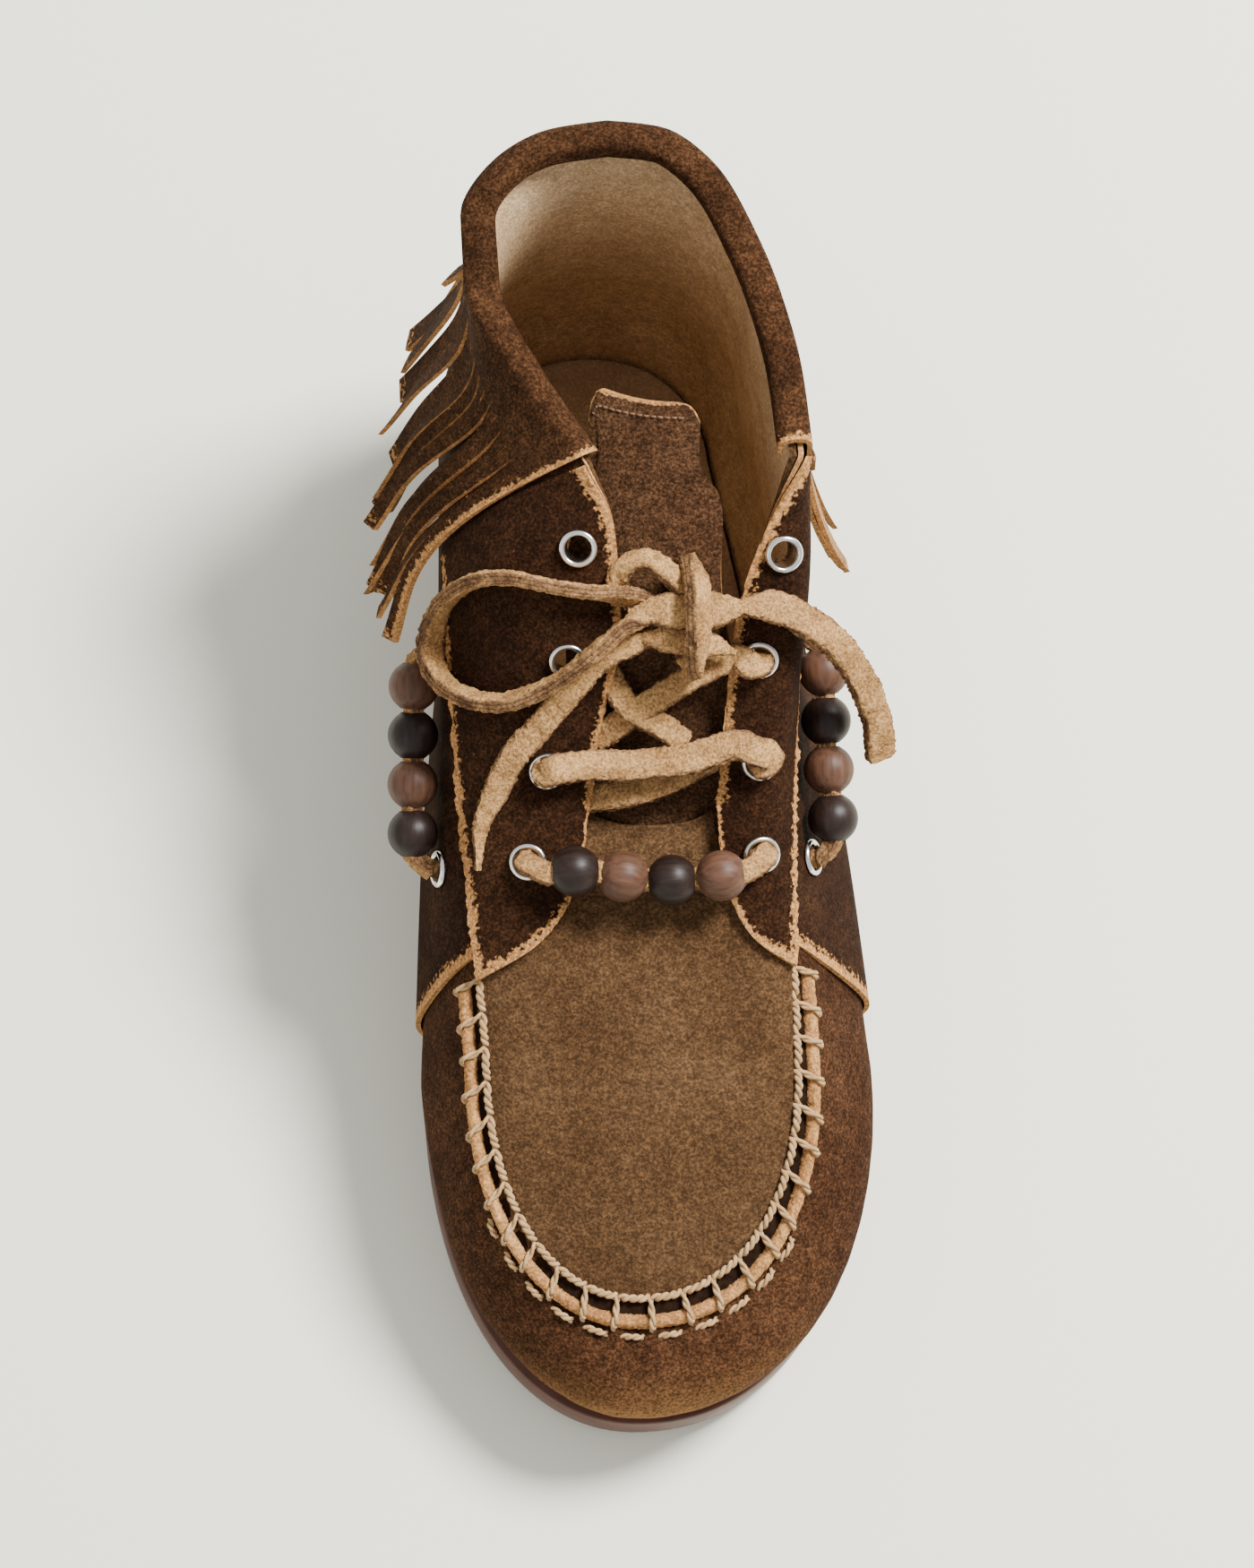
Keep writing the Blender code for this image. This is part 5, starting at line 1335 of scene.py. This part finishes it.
def thread_beads(word, points, order):
    route = smooth_route(points, 0.0005)
    run = np.concatenate([[0], np.cumsum(np.linalg.norm(np.diff(route, axis=0), axis=1))])
    half = BEAD_LENGTH / 2
    for k, dark in enumerate(order):
        centre = run[-1] / 2 + (k - 1.5) * (BEAD_LENGTH + BEAD_GAP)
        back, middle, front = (
            np.array([np.interp(centre + d, run, route[:, i]) for i in range(3)]) for d in (-half, 0, half)
        )
        wood = DARK_WOOD if dark else BROWN_WOOD
        bead = lathe("wood_%s_%d" % (word, k + 1), bead_profile, 36, [wood])
        settle(bead, (back + 2 * middle + front) / 4, front - back, spin=1.3 * k)
        place_piece(bead, "dark_wood" if dark else "brown_wood", "bead_%s_%d" % (word, k + 1))


thread_beads("front", bead_bar, (True, False, True, False))
thread_beads("medial", strings[-1], (True, False, True, False))
thread_beads("lateral", strings[1], (True, False, True, False))
print("Beads:", 12)

# %% [markdown]
# ## Sole and insole
# The outsole is one rubber unit, poured with a rounded edge. The insole is a thin leather board.


# %% Sole and insole
def plan_side(side, grow, count):
    points = ring_points(RINGS[0], side, np.linspace(0, 1, count))
    ahead = np.gradient(points, axis=0)
    ahead[0], ahead[-1] = (side, 0, 0), (-side, 0, 0)
    long = np.hypot(ahead[:, 0], ahead[:, 1])
    points[:, 0] -= side * grow * ahead[:, 1] / long
    points[:, 1] += side * grow * ahead[:, 0] / long
    return points


def sole_loop(grow, share, extra):
    loop = np.concatenate([plan_side(1, grow, 121), plan_side(-1, grow, 121)[-2:0:-1]])
    y = loop[:, 1]
    arch = np.clip((y / LENGTH - 0.030) / 0.170, 0, 1)
    low = sole_bottom(y) + 0.0018 * np.sin(math.pi * arch) ** 2
    loop[:, 2] = low + share * (sole_top(y) - low) + extra
    return loop


def stacked(name, loops, material):
    loops = [loops[0] * (1, 1, 1)] + list(loops)
    verts, n = np.concatenate(loops), len(loops[0])
    at = np.arange(len(loops) * n).reshape(len(loops), n)
    nxt = np.roll(at, -1, axis=1)
    faces = list(np.stack([at[1:-1], nxt[1:-1], nxt[2:], at[2:]], -1).reshape(-1, 4))
    for row in (at[1], at[-1]):
        faces += [(row[k], row[k + 1], row[-k - 1], row[-k]) for k in range(1, n // 2 - 1)]
        faces += [(row[0], row[1], row[-1]), (row[n // 2 - 1], row[n // 2], row[n // 2 + 1])]
    return finish_mesh(name, verts, faces, [material], np.zeros(len(faces), int), smooth=50)


BEVEL = 0.0016
bend = np.linspace(0, math.pi / 2, 5)
loops = [sole_loop(SOLE_RIM - BEVEL * (1 - math.sin(t)), 0, BEVEL * (1 - math.cos(t))) for t in bend]
loops += [sole_loop(SOLE_RIM + 0.0002 * math.sin(math.pi * s), s, 0) for s in (0.35, 0.6, 0.8)]
loops += [sole_loop(SOLE_RIM - 0.4 * BEVEL * (1 - math.cos(t)), 1, -BEVEL * (1 - math.sin(t))) for t in bend]
sole = stacked("rubber_sole", loops, RUBBER)
place_piece(sole, "rubber", "outsole")
inset = -WALL - 2 * LAYER_GAP
insole = stacked("leather_insole", [sole_loop(inset, 1, GAP), sole_loop(inset, 1, GAP + 0.0026),
                                    sole_loop(inset - 0.0006, 1, GAP + 0.0030)], INSOLE_HIDE)
place_piece(insole, "lining", "insole")
print("The sole is %.0f by %.0f mm" % (1000 * sole.dimensions.x, 1000 * sole.dimensions.y))

# %% [markdown]
# ## The size
# The solids' box and the dressed boot's box are printed side by side.

# %% Write the boxes and finish
bpy.context.view_layer.update()
low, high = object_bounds()
for axis, a, b, c, d in zip("xyz", cad_low, cad_high, low, high):
    print("%s: CAD %.1f to %.1f, dressed %.1f to %.1f mm" % (axis, 1000 * a, 1000 * b, 1000 * c, 1000 * d))
